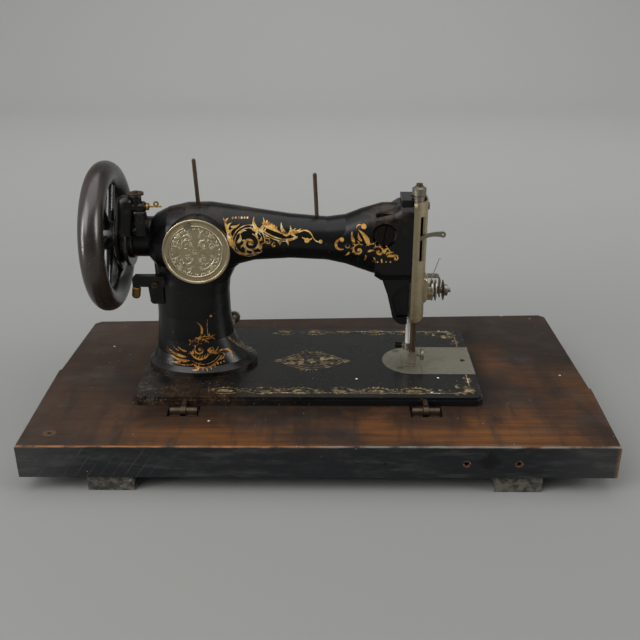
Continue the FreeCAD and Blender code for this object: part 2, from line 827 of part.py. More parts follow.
def head_block():
    """The box-like head at the needle end, open towards the face plate."""
    block = new_body("head_block")
    profile = outline(new_sketch(block, "XZ_Plane", f"-{MIDDLE} - head_half"), [
        ("arm_end - 7", "web_low + 8"), ("arm_end", "web_low + 3.5"),
        ("head_end", "web_low + 3.5"), ("head_end", "head_top"),
        ("arm_end + 18", "head_top - 0.6"), ("arm_end + 11", "head_top - 5"),
        ("arm_end - 7", "head_top - 9")])
    pad(block, profile, "2 * head_half")
    side = number("head_half")
    middle_y = number(MIDDLE)
    end = number("head_end")

    def long_edge(middle):
        return abs(abs(middle.y - middle_y) - side) < 0.01 and middle.x < end - 1 \
            and middle.x > end - 36
    dress(block, "Fillet", long_edge, "head_round")
    return machine(block)


def nose_block():
    """The narrow nose beside the bars.  Its far wall reaches the face plate, and the side
    towards the hinges has an arched recess."""
    block = new_body("nose_block")
    profile = outline(new_sketch(block, "XZ_Plane", f"-{MIDDLE} - nose_half"), [
        ("arm_end + 1", "web_low + 6"), ("arm_end + 7", "nose_low + 35"),
        ("arm_end + 12", "nose_low + 14", "arm_end + 16", "nose_low + 4.5"),
        ("arm_end + 23.5", "nose_low"), ("head_end", "nose_low"),
        ("head_end", "web_low + 6")])
    pad(block, profile, "2 * nose_half")
    way = outline(new_sketch(block, "XZ_Plane", f"-{MIDDLE} + nose_half + 1"), rectangle(
        "nose_end", "head_end + 1", "nose_low - 1", "web_low + 3.5"))
    pocket(block, way, "2 * nose_half - nose_wall + 1")
    arch = outline(new_sketch(block, "XZ_Plane", f"-{MIDDLE} + nose_half + 1"), [
        ("arm_end + 18", "nose_low + 8"), ("arm_end + 11.6", "nose_low + 29",
                                           "arm_end + 16.5", "nose_low + 39.5"),
        ("nose_end - 2", "nose_low + 45"), ("nose_end + 1", "nose_low + 45.5"),
        ("nose_end + 1", "nose_low + 8")])
    pocket(block, arch, "nose_recess + 1")
    return machine(block)


def cap_block():
    """The raised cap over the bars, round at its end."""
    return machine(plate("cap", [
        ("head_end - 12", f"{MIDDLE} - cap_half"), ("head_end - 4", f"{MIDDLE} - cap_half",
                                                    "head_end + cap_half - 4", MIDDLE),
        ("head_end - 4", f"{MIDDLE} + cap_half"), ("head_end - 12", f"{MIDDLE} + cap_half")],
        "cap_top - head_top + 2", offset="head_top - 2"))


def web_lug():
    """The lug that guides the presser bar in front of the head's end."""
    reach = "presser_bar_dia / 2 + 2.2"
    y = f"({MIDDLE} - presser_ahead)"
    return machine(plate("web_lug", [
        ("head_end - 8", f"{y} - {reach}"), ("presser_x", f"{y} - {reach}",
                                             f"presser_x + {reach}", y),
        ("presser_x", f"{y} + {reach}"), ("needle_x + 7", f"{MIDDLE} - 3"),
        ("needle_x + 7", f"{MIDDLE} + 7"), ("head_end - 8", f"{MIDDLE} + 7")],
        "web_high - web_low", offset="web_low"))


def arm():
    """Pillar, arm and head in one hollow casting."""
    sections = [ellipse(x, MIDDLE, f"shaft_height + ({rise} - {depth}) / 2",
                        f"({rise} + {depth}) / 2", half, ACROSS_ARM)
                for x, depth, rise, half in ARM_SECTIONS]
    beam = machine(loft(sections))
    sections = [ellipse(f"({left} + {right}) / 2", MIDDLE, z, f"({right} - ({left})) / 2",
                        half, UPRIGHT) for z, left, right, half in PILLAR_SECTIONS]
    pillar = machine(loft(sections))
    boss = machine(rod("boss_dia", "boss_reach + 12"), "boss_start", MIDDLE, "shaft_height",
                   ALONG_X)
    seat = machine(rod("cover_dia + 1", f"{MIDDLE} - cover_seat"), "cover_x", MIDDLE,
                   COVER_Z, TOWARDS_HINGES)
    solid = fuse(beam, pillar, boss, seat, head_block(), nose_block(), cap_block(), web_lug())
    cavity = machine(plate("cavity", rounded("33", "82", f"({MIDDLE} - 20)",
                                             f"({MIDDLE} + 20)", "9"), 161, offset=-1))
    tunnel = machine(rod("tunnel_dia", "arm_end - 98"), 80, MIDDLE, "shaft_height", ALONG_X)
    seats = machine(rod("bushing_dia", "head_end"), "boss_start - 1", MIDDLE, "shaft_height",
                    ALONG_X)
    cover_port = machine(rod("cover_port", f"{MIDDLE} - cover_seat"), "cover_x",
                         f"{MIDDLE} - 1", COVER_Z, TOWARDS_HINGES)
    room = machine(plate("room", rounded("(arm_end + 7)", "(head_end + 12)",
                                         f"({MIDDLE} - head_room)", f"({MIDDLE} + head_room)",
                                         "3"), "head_top - 14 - web_high", offset="web_high"))
    lever_port = machine(rod("port_dia", "head_half - lever_ahead + lever_thick + 1.2"),
                         "port_x", f"{MIDDLE} - lever_ahead + lever_thick + 0.6", "port_z",
                         TOWARDS_HINGES)
    lever_room = machine(plate("lever_room", rectangle(
        "port_x - 9", "head_end", f"{MIDDLE} - head_room",
        f"{MIDDLE} - lever_ahead + lever_thick + 0.6"), "44", offset="port_z - 22"))
    needle_bore = machine(rod("needle_bushing", 60), "needle_x", MIDDLE, "web_low - 1")
    needle_top = machine(rod("needle_bar_dia + 0.4", 30), "needle_x", MIDDLE, "head_top - 15")
    presser_y = f"{MIDDLE} - presser_ahead"
    presser_bore = machine(rod("presser_bar_dia + 2 * running_fit", 140), "presser_x",
                           presser_y, "web_low - 1")
    regulator_bore = machine(rod("regulator_neck", 30), "presser_x", presser_y, "head_top - 9")
    recess = machine(rod("regulator_dia + 1", 12), "presser_x", presser_y, "head_top + 1")
    pins = [machine(rod("spool_pin_dia", 12), x, MIDDLE, z, LEANING)
            for x, z in SPOOL_SEATS]
    bolts = [machine(rod("arm_bolt + 0.1", "arm_bolt_long + 1"), x, y, -1)
             for x, y in ARM_BOLTS]
    cover_hole = machine(rod("cover_screw", 12), COVER_SCREW_X, "cover_seat - 1",
                         COVER_SCREW_Z, AWAY_FROM_HINGES)
    stud_hole = machine(rod("lever_stud", 10), "port_x",
                        f"{MIDDLE} - lever_ahead + lever_thick", "port_z", AWAY_FROM_HINGES)
    face_hole = machine(rod("face_screw", 12), "head_end - 9", f"{MIDDLE} + 12",
                        "face_screw_z", ALONG_X)
    stitch_hole = machine(rod(4.8, 30), STITCH_X, STITCH_Y, STITCH_Z, AWAY_FROM_HINGES)
    side_hole = machine(rod("side_screw", 14), SIDE_SCREW_X, "side_y", SIDE_SCREW_Z,
                        AWAY_FROM_HINGES)
    casting = cut(solid, cavity, tunnel, seats, cover_port, room, lever_port, lever_room,
                  needle_bore, needle_top, presser_bore, regulator_bore, recess,
                  cover_hole, stud_hole, face_hole, stitch_hole, side_hole, *pins, *bolts)
    keep("arm", casting)
    keep("arm_bolts", group(*[
        machine(rod_bolt("arm_bolt", "arm_bolt_long", 13, 6), x, y, "-bed_skin")
        for x, y in ARM_BOLTS]))
    side_bracket(pillar)


def rod_bolt(shank, reach, head, head_thick):
    """A round-head bolt put in from below, head down, reaching up past the bed's skin."""
    return fuse(rod(shank, f"{reach} + bed_skin"), place(rod(head, head_thick),
                                                         z=f"-({head_thick})"))


SPOOL_SEATS = (("69.3", "shaft_height + 30.5"), ("194", "shaft_height + 15.5"))
COVER_SCREW_X = "(cover_x - 7)"
COVER_SCREW_Z = f"({COVER_Z} + 28)"
FEED_Y, FEED_Z = "30", "(-22)"
LIFT_Y = "148"
HOOK_Z = "(-30)"


# Head: face plate, bars and thread take-up ------------------------------------------------

LEVER_NEAR = f"({MIDDLE} - lever_ahead)"
PRESSER_Y = f"({MIDDLE} - presser_ahead)"
PLATE_OUT = "(head_end + face_deep)"


def bulge(inset, low, high):
    """The rounded body of the face plate; the same form, set in, hollows it."""
    side, front = f"(face_half - {inset})", f"({PLATE_OUT} - {inset})"
    turn = f"(face_round - {inset})"
    column = plate("column", [
        (f"head_end - {inset}", f"{MIDDLE} - {side}"),
        (f"{front} - {turn}", f"{MIDDLE} - {side}", f"{front} - {turn} * {ARC}",
         f"{MIDDLE} - {side} + {turn} * {ARC}"),
        (front, f"{MIDDLE} - {side} + {turn}"), (front, f"{MIDDLE} + {side} - {turn}",
                                                 f"{front} - {turn} * {ARC}",
                                                 f"{MIDDLE} + {side} - {turn} * {ARC}"),
        (f"{front} - {turn}", f"{MIDDLE} + {side}"),
        (f"head_end - {inset}", f"{MIDDLE} + {side}")], f"{high} - {low}", offset=low)
    return machine(column)


def face_plate():
    flange = new_body("flange")
    half = "(face_half + flange_out)"
    pad(flange, outline(new_sketch(flange, "YZ_Plane", "head_end"), rounded(
        f"({MIDDLE} - {half})", f"({MIDDLE} + {half})", "face_low", "face_high",
        "face_foot")), "face_flange")
    block = new_body("tension_block")
    sketch = outline(new_sketch(block, "XZ_Plane", f"-{MIDDLE} - block_half"), [
        ("head_end + 4", "tension_z - 10"), ("tension_face - 3", "tension_z - 10"),
        ("tension_face", "tension_z - 7"), ("tension_face", "block_top - 4",
                                            "tension_face - 1.2", "block_top - 1.2"),
        ("tension_face - 4", "block_top"), ("head_end + 4", "block_top")])
    pad(block, sketch, "2 * block_half")
    front, side, middle_y = number("tension_face"), number("block_half"), number(MIDDLE)
    low, high = number("tension_z - 7"), number("block_top - 4")

    def corner(middle):
        return abs(abs(middle.y - middle_y) - side) < 0.01 and middle.x > front - 0.01 \
            and low < middle.z < high
    dress(block, "Fillet", corner, 2.8)
    drum = machine(rod("drum_dia", "drum_end - head_end - 8"), "head_end + 8", MIDDLE,
                   "tension_z", ALONG_X)
    ledge = machine(box("drum_end - tension_face - 1", "drum_dia + 2", "drum_dia"),
                    "tension_face", f"{MIDDLE} - drum_dia / 2 - 1", "tension_z + 1")
    seat = machine(rod("coil_dia + 0.6", 2.8), "tension_face + 0.3", MIDDLE, "tension_z",
                   ALONG_X)
    core = machine(rod("coil_dia - 2.6", "drum_end - tension_face"), "tension_face", MIDDLE,
                   "tension_z", ALONG_X)
    slot = machine(box(20, "lever_thick + 1.6", "slot_high - slot_low"), "head_end + 4",
                   f"{LEVER_NEAR} - 0.8", "slot_low")
    bore = machine(rod("tension_stud", "drum_end"), "tension_face - 4", MIDDLE, "tension_z",
                   ALONG_X)
    screw_hole = machine(rod("face_screw", 40), "head_end + 1", f"{MIDDLE} + 12",
                         "face_screw_z", ALONG_X)
    heel = machine(plate("heel", [
        (f"{PLATE_OUT} + 1", "face_low - 1"), (f"{PLATE_OUT} + 1", "face_low + face_foot"),
        (PLATE_OUT, "face_low + face_foot", f"{PLATE_OUT} - face_foot * {ARC}",
         f"face_low + face_foot * {ARC}"),
        (f"{PLATE_OUT} - face_foot", "face_low"), (f"{PLATE_OUT} - face_foot",
                                                   "face_low - 1")],
        "2 * face_half + 2", plane="XZ_Plane", offset=f"-{MIDDLE} - face_half - 1"))
    shell = fuse(machine(flange), machine(block), bulge(0, "face_low", "face_high"), drum)
    hollow = bulge("face_skin", "(face_low - 1)", "(face_high + 1)")
    trimmed = fuse(cut(shell, hollow, ledge, heel, seat), core)
    keep("face_plate", cut(trimmed, slot, bore, screw_hole))
    screw = slotted_screw("face_screw_head", 3.2, "face_screw", f"{PLATE_OUT} - head_end + 9")
    keep("face_plate_screw", machine(screw, PLATE_OUT, f"{MIDDLE} + 12", "face_screw_z",
                                     ALONG_X))


def needle_parts():
    bar = machine(rod("needle_bar_dia", "needle_bar_high - needle_bar_low"), "needle_x",
                  MIDDLE, "needle_bar_low")
    socket = machine(rod("needle_shank", "needle_grip"), NEEDLE_HOLE, MIDDLE,
                     "needle_bar_low - 0.5")
    keep("needle_bar", cut(bar, socket))
    sleeve = rod("needle_bushing", "bushing_long")
    bore = place(rod("needle_bar_dia + 2 * running_fit", "bushing_long + 2"), z=-1)
    keep("needle_bar_bushing", machine(cut(sleeve, bore), "needle_x", MIDDLE, "web_low - 1"))
    collar = rod("clamp_dia", "clamp_high")
    hub = place(rod(5.5, 7), 0, 0, "clamp_high / 2", Rotation(Vector(0, 1, 0), -90))
    hole = place(rod("needle_bar_dia", "clamp_high + 2"), z=-1)
    screw_hole = place(rod(2.8, 9), 0, 0, "clamp_high / 2", Rotation(Vector(0, 1, 0), -90))
    clamp = cut(fuse(collar, hub), hole, screw_hole)
    keep("needle_clamp", machine(clamp, "needle_x", MIDDLE, "needle_bar_low"))
    keep("needle_clamp_screw", machine(
        slotted_screw(7, "clamp_screw_head", 2.8, 3.6), "needle_x - 7.1", MIDDLE,
        "needle_bar_low + clamp_high / 2", Rotation(Vector(0, 1, 0), -90)))
    top = "(needle_bar_low - 0.5 + needle_grip - needle_tip)"
    needle = turned("needle", [
        (0, 0), ("needle_dia / 4", "needle_dia"), ("needle_dia / 2", "4 * needle_dia"),
        ("needle_dia / 2", f"{top} - needle_grip"), ("needle_shank / 2", f"{top} - needle_grip"),
        ("needle_shank / 2", top), (0, top)])
    keep("needle", machine(needle, NEEDLE_HOLE, MIDDLE, "needle_tip"))


def take_up():
    lever = new_body("take_up_lever")
    sketch = outline(new_sketch(lever, "XZ_Plane"), [
        ("lever_hub * 0.24", "lever_hub * 0.44", "lever_reach * 0.33", "-0.4"),
        ("lever_reach * 0.6", "-3.4", "lever_reach * 0.82", "1.4"),
        ("lever_reach + 0.6", "-lever_drop + 2.9", "lever_reach + 3.2", "-lever_drop"),
        ("lever_reach", "-lever_drop - 3", "lever_reach * 0.8", "-lever_drop - 2.2"),
        ("lever_reach * 0.6", "-8.2", "lever_reach * 0.36", "-6.8"),
        ("lever_hub * 0.24", "-lever_hub * 0.44", "-lever_hub / 2", "0")])
    circle(sketch, 0, 0, "lever_stud + 2 * running_fit")
    circle(sketch, "lever_reach", "-lever_drop", 2.4)
    pad(lever, sketch, "lever_thick", reverse=True)
    keep("take_up_lever", machine(lever, "port_x", LEVER_NEAR, "port_z"))
    stud = slotted_screw("port_dia - 4.5", 3, "lever_stud", "lever_thick + 7.2", 1.6)
    keep("take_up_stud", machine(stud, "port_x", f"{LEVER_NEAR} - 0.5", "port_z",
                                 STUD_TURN))


def presser_parts():
    keep("presser_bar", machine(rod("presser_bar_dia", "presser_bar_high - 8"), "presser_x",
                                PRESSER_Y, 8))
    regulator = turned("presser_regulator", [
        ("presser_bar_dia / 2 + running_fit", 0), ("regulator_neck / 2", 0),
        ("regulator_neck / 2", "regulator_foot"), (5.7, "regulator_foot"),
        (5.7, "regulator_foot + 7.6"), (5, "regulator_foot + 7.9"),
        (5, "regulator_foot + 8.7"), ("regulator_dia / 2", "regulator_foot + 9"),
        ("regulator_dia / 2", "regulator_foot + 16"), (4.6, "regulator_foot + 17.2"),
        (4.6, "regulator_foot + 18"), ("presser_bar_dia / 2 + running_fit",
                                       "regulator_foot + 18")])
    keep("presser_regulator", machine(regulator, "presser_x", PRESSER_Y,
                                      "head_top - 2 - 1.5"))
    foot = new_body("foot")
    block = outline(new_sketch(foot, offset="foot_sole + 3.6"), rectangle(
        "-foot_block / 2", "foot_block / 2", "-foot_block / 2", "foot_block / 2"))
    pad(foot, block, "foot_high - foot_sole - 3.6")
    neck = outline(new_sketch(foot, "YZ_Plane", "-foot_block / 2"), [
        ("-foot_block / 2", "foot_sole + 4.2"), ("-foot_block / 2 + 2.4", "foot_sole - 0.2"),
        ("foot_block / 2 + 2", "foot_sole - 0.2"), ("foot_block / 2", "foot_sole + 4.2")])
    pad(foot, neck, "foot_block * 0.8")
    sole = outline(new_sketch(foot), [
        ("-foot_wide / 2 - foot_offset", "-3"), ("foot_wide / 2 - foot_offset", "-3"),
        ("foot_wide / 2 - foot_offset", "foot_toe"),
        ("foot_slot / 2 - foot_offset", "foot_toe"),
        ("foot_slot / 2 - foot_offset", "presser_ahead - 4"),
        ("-foot_slot / 2 - foot_offset", "presser_ahead - 4"),
        ("-foot_slot / 2 - foot_offset", "foot_toe"),
        ("-foot_wide / 2 - foot_offset", "foot_toe")])
    pad(foot, sole, "foot_sole")
    bore = circle(new_sketch(foot, offset="foot_high"), 0, 0, "presser_bar_dia")
    pocket(foot, bore, "foot_high - 8 + slide_gap")
    side = circle(new_sketch(foot, "YZ_Plane", "foot_block / 2 + 1"), 0,
                  "foot_screw_z - slide_gap", "foot_screw")
    pocket(foot, side, "foot_block / 2 - presser_bar_dia / 2 + 2")
    keep("presser_foot", machine(foot, "presser_x", PRESSER_Y, "slide_gap"))
    screw = slotted_screw("foot_screw_head", 3.3, "foot_screw",
                          "foot_screw_out - presser_bar_dia / 2", 1.4)
    keep("presser_foot_screw", machine(screw, "presser_x + foot_screw_out", PRESSER_Y,
                                       "foot_screw_z", ALONG_X))


def tension_parts():
    def on_axis(thing, x):
        return machine(thing, x, MIDDLE, "tension_z", ALONG_X)

    stud = rod("tension_stud", "stud_end - tension_face + 4")
    slit = place(box("tension_stud + 2", 1, 3), "-tension_stud / 2 - 1", "-0.5",
                 "stud_end - tension_face + 4 - 2.6")
    keep("tension_stud", on_axis(cut(stud, slit), "tension_face - 4"))

    def disc(label, side):
        hub, lip = "tension_stud / 2 + 0.2", "tension_disc / 2"
        return turned(label, [
            (hub, f"{side} * 0.05"), (6.2, f"{side} * 0.05"), (lip, f"{side} * 1.5"),
            (lip, f"{side} * 2.3"), (6, f"{side} * 0.85"), (hub, f"{side} * 0.85")])
    keep("tension_discs", on_axis(group(disc("inner_disc", -1), disc("outer_disc", 1)),
                                  "disc_x"))
    coils = [("tension_stud / 2 + 0.2", 0)]
    for index, radius in enumerate((4.3, 4.1, 3.8, 3.5)):
        start = f"spring_long * {index} / 4"
        coils += [(radius, f"{start} + 0.1"), (radius, f"{start} + spring_long / 5"),
                  ("tension_stud / 2 + 0.5", f"{start} + spring_long / 4.4")]
    coils[-1] = ("tension_stud / 2 + 0.2", "spring_long")
    coils[1] = (4.3, 0)
    keep("tension_spring", on_axis(turned("tension_spring", coils), "disc_x + 0.9"))
    dial = turned("tension_washer", [
        ("tension_stud / 2 + 0.1", 0), ("dial_dia / 2 - 2", 0), ("dial_dia / 2", 0.6),
        ("dial_dia / 2", 1.1), ("dial_dia / 2 - 2.2", 0.8), ("tension_stud / 2 + 0.1", 0.8)])
    keep("tension_washer", on_axis(dial, "disc_x + 0.9 + spring_long"))
    nut = turned("tension_nut", [
        ("tension_stud / 2 + running_fit", 0), (4.6, 0), (4.6, 0.7), ("nut_dia / 2", 1.2),
        ("nut_dia / 2", 4.6), (5.4, 5), ("tension_stud / 2 + running_fit", 5)])
    keep("tension_nut", on_axis(nut, "disc_x + 1.7 + spring_long"))
    guard = new_body("thread_guard")
    top, front = "(guard_z - tension_z)", "(guard_x - tension_face)"
    strip = outline(new_sketch(guard, "XZ_Plane", "-guard_wide / 2"), [
        (0, top), (f"{front} - 4", top, f"{front} - 1.2", f"{top} - 1.2"),
        (front, f"{top} - 4"), (front, "-6.5"), (f"{front} - guard_thick", "-6.5"),
        (f"{front} - guard_thick", f"{top} - 4", f"{front} - 1.2 - guard_thick * 0.72",
         f"{top} - 1.2 - guard_thick * 0.72"),
        (f"{front} - 4", f"{top} - guard_thick"), (0, f"{top} - guard_thick")])
    pad(guard, strip, "guard_wide")
    doc.recompute()
    window = circle(new_sketch(guard, "YZ_Plane", f"{front} - guard_thick - 1"), 0, 0, 9)
    pocket(guard, window, "guard_thick + 2", reverse=True)
    keep("thread_guard", machine(guard, "tension_face", MIDDLE, "tension_z"))
    coil = turned("coil", [("coil_dia / 2 - 1.2", 0), ("coil_dia / 2", 0),
                           ("coil_dia / 2", 2.2), ("coil_dia / 2 - 1.2", 2.2)])
    coil = machine(coil, "tension_face + 0.6", MIDDLE, "tension_z", ALONG_X)
    keep("check_spring", fuse(coil, check_wire()))


def check_wire():
    """The thin end of the check spring, bent up beside the discs and hooked."""
    wire = new_body("check_wire")
    path = new_sketch(wire, "XZ_Plane")
    points = [(0, 0), (0, 9), (4.5, 24), (7.5, 33), (9.5, 39.5), (12.5, 38.6)]
    for start, end in zip(points, points[1:]):
        path.addGeometry(Part.LineSegment(Vector(*start, 0), Vector(*end, 0)))
    for index in range(len(points) - 2):
        path.addConstraint(Sketcher.Constraint("Coincident", index, 2, index + 1, 1))
    for index, (x, y) in enumerate(points[:-1]):
        fix_point(path, index, 1, x, y)
    fix_point(path, len(points) - 2, 2, *points[-1])
    ring = circle(new_sketch(wire), 0, 0, "check_wire")
    pipe = wire.newObject("PartDesign::AdditivePipe", "pipe")
    pipe.Profile = ring
    pipe.Spine = (path, [])
    pipe.Transition = "Right corner"
    return machine(wire, "tension_face + 1.7", f"{MIDDLE} - coil_dia / 2 + 0.6", "tension_z")


# Shaft and handwheel ----------------------------------------------------------------------

def shaft_parts():
    sleeve = rod("bushing_dia", "bushing_reach")
    hole = place(rod("shaft_dia + 2 * running_fit", "bushing_reach + 2"), z=-1)
    rear = machine(cut(sleeve, hole), "boss_start + 2", MIDDLE, "shaft_height", ALONG_X)
    sleeve = rod("bushing_dia", "bushing_reach")
    hole = place(rod("shaft_dia + 2 * running_fit", "bushing_reach + 2"), z=-1)
    front = machine(cut(sleeve, hole), "arm_end + 6 - bushing_reach", MIDDLE,
                    "shaft_height", ALONG_X)
    keep("shaft_bushings", group(rear, front))
    shaft = machine(rod("shaft_dia", "arm_end + 8 - shaft_start"), "shaft_start", MIDDLE,
                    "shaft_height", ALONG_X)
    crank = machine(rod("2 * crank_throw + 6", 6), "arm_end + 7", MIDDLE, "shaft_height",
                    ALONG_X)
    pin = machine(rod(5, 15), "arm_end + 7", MIDDLE, "shaft_height - crank_throw", ALONG_X)
    keep("arm_shaft", fuse(shaft, crank, pin))
    wheel = new_body("handwheel")
    about_x(wheel, outline(new_sketch(wheel, "XZ_Plane"), wheel_hub()))
    spoke = pad(wheel, circle(new_sketch(wheel, "XZ_Plane"), 0, 0, "spoke_dia"), "wheel_ring")
    spoke.TaperAngle = -1.2
    doc.recompute()
    pattern = wheel.newObject("PartDesign::PolarPattern", "spokes")
    pattern.Originals = [spoke]
    axis = next(item for item in wheel.Origin.OriginFeatures if item.Role == "X_Axis")
    pattern.Axis = (axis, [""])
    pattern.Angle = 360
    pattern.Occurrences = 6
    wheel.Tip = pattern
    about_x(wheel, circle(new_sketch(wheel, "XZ_Plane"), 0, "wheel_ring", "2 * wheel_tube"))
    bore = circle(new_sketch(wheel, "YZ_Plane", "-wheel_tube - 2"), 0, 0, "shaft_dia")
    pocket(wheel, bore, "pulley_start - wheel_x + pulley_wide + 40", reverse=True)
    keep("handwheel", machine(wheel, "wheel_x", MIDDLE, "shaft_height"))
    knob = turned("stop_motion_knob", [
        (0, 0), ("shaft_dia / 2 - 1", 0), ("shaft_dia / 2 + 1", 1), ("knob_dia / 2 - 1", 1),
        ("knob_dia / 2", 2), ("knob_dia / 2", 7.5), ("knob_dia / 2 - 2", 9), (7, 10.2),
        (7, 11), (0, 11)])
    keep("stop_motion_knob", machine(knob, "wheel_x - wheel_tube - 0.3 + 0.1", MIDDLE,
                                     "shaft_height", Rotation(Vector(0, 1, 0), -90)))


def wheel_hub():
    """Hub, belt pulley and its flange, as the half section above the wheel's axis."""
    start, end = "(pulley_start - wheel_x)", "(pulley_start - wheel_x + pulley_wide)"
    return [
        ("-wheel_tube", "0"), ("-wheel_tube", "hub_dia / 2 - 1"),
        ("-wheel_tube + 1", "hub_dia / 2"), (start, "hub_dia / 2"),
        (start, "pulley_dia / 2 - 1"), (f"{start} + 1", "pulley_dia / 2"),
        (f"{start} + 3.4", "pulley_dia / 2"),
        (f"{start} + 5.6", "pulley_dia / 2 - groove_deep"),
        (f"{start} + 7.4", "pulley_dia / 2 - groove_deep"),
        (f"{end} - 3.4", "pulley_dia / 2"), (f"{end} - 1", "pulley_dia / 2"),
        (end, "pulley_dia / 2 - 1"), (end, "pulley_step / 2"),
        ("boss_start - 1 - wheel_x - 0.6", "pulley_step / 2"),
        ("boss_start - 1 - wheel_x", "pulley_step / 2 - 0.6"),
        ("boss_start - 1 - wheel_x", "0")]


def about_x(body, sketch):
    """Revolve the sketch about its own level axis."""
    feature = body.newObject("PartDesign::Revolution", body.Name + "_turned")
    feature.Profile = sketch
    feature.ReferenceAxis = (sketch, ["H_Axis"])
    feature.Angle = 360
    doc.recompute()
    return feature


# Small fittings on the arm ----------------------------------------------------------------

def cover_parts():
    cover = turned("rear_cover_plate", [
        (0, 0), ("cover_dia / 2", 0), ("cover_dia / 2", "cover_thick - 0.4"),
        ("cover_dia / 2 - 0.5", "cover_thick"), ("cover_dia / 2 - 2.2", "cover_thick"),
        ("cover_dia / 2 - 3", "cover_thick - 0.8"), ("cover_dia / 2 - 6.5",
                                                     "cover_thick - 0.8"),
        ("cover_dia / 2 - 7", "cover_thick - 0.3"), ("cover_dia / 2 - 8",
                                                     "cover_thick - 0.3"),
        ("cover_dia / 2 - 8.6", "cover_thick - 0.8"), (0, "cover_thick - 0.2")])
    hole = place(rod("cover_screw + 2 * running_fit", 10), "-7", 28, -3)
    keep("rear_cover_plate", machine(cut(cover, hole), "cover_x", "cover_seat", COVER_Z,
                                     TOWARDS_HINGES))
    screw = slotted_screw("cover_screw_head", 1.6, "cover_screw", "cover_thick + 8", 1.1)
    keep("cover_screw", machine(screw, COVER_SCREW_X, "cover_seat - cover_thick",
                                COVER_SCREW_Z, TOWARDS_HINGES))
    pins = []
    for x, z in SPOOL_SEATS:
        pin = turned("spool_pin", [
            (0, 0), ("spool_pin_dia / 2", 0), ("spool_pin_dia / 2", "spool_pin_long - 1.2"),
            ("spool_pin_dia / 2 - 1", "spool_pin_long"), (0, "spool_pin_long")])
        pins.append(machine(pin, x, MIDDLE, z, LEANING))
    keep("spool_pins", group(*pins))
    knob = turned("stitch_regulator", [
        (0, 0), (2.4, 0), (2.4, "regulator_reach - 6"), (3.4, "regulator_reach - 4.6"),
        ("stitch_knob / 2", "regulator_reach - 4"), ("stitch_knob / 2",
                                                     "regulator_reach - 0.8"),
        ("stitch_knob / 2 - 0.8", "regulator_reach"), (0, "regulator_reach")])
    keep("stitch_regulator", machine(knob, STITCH_X, STITCH_Y, STITCH_Z, AWAY_FROM_HINGES))


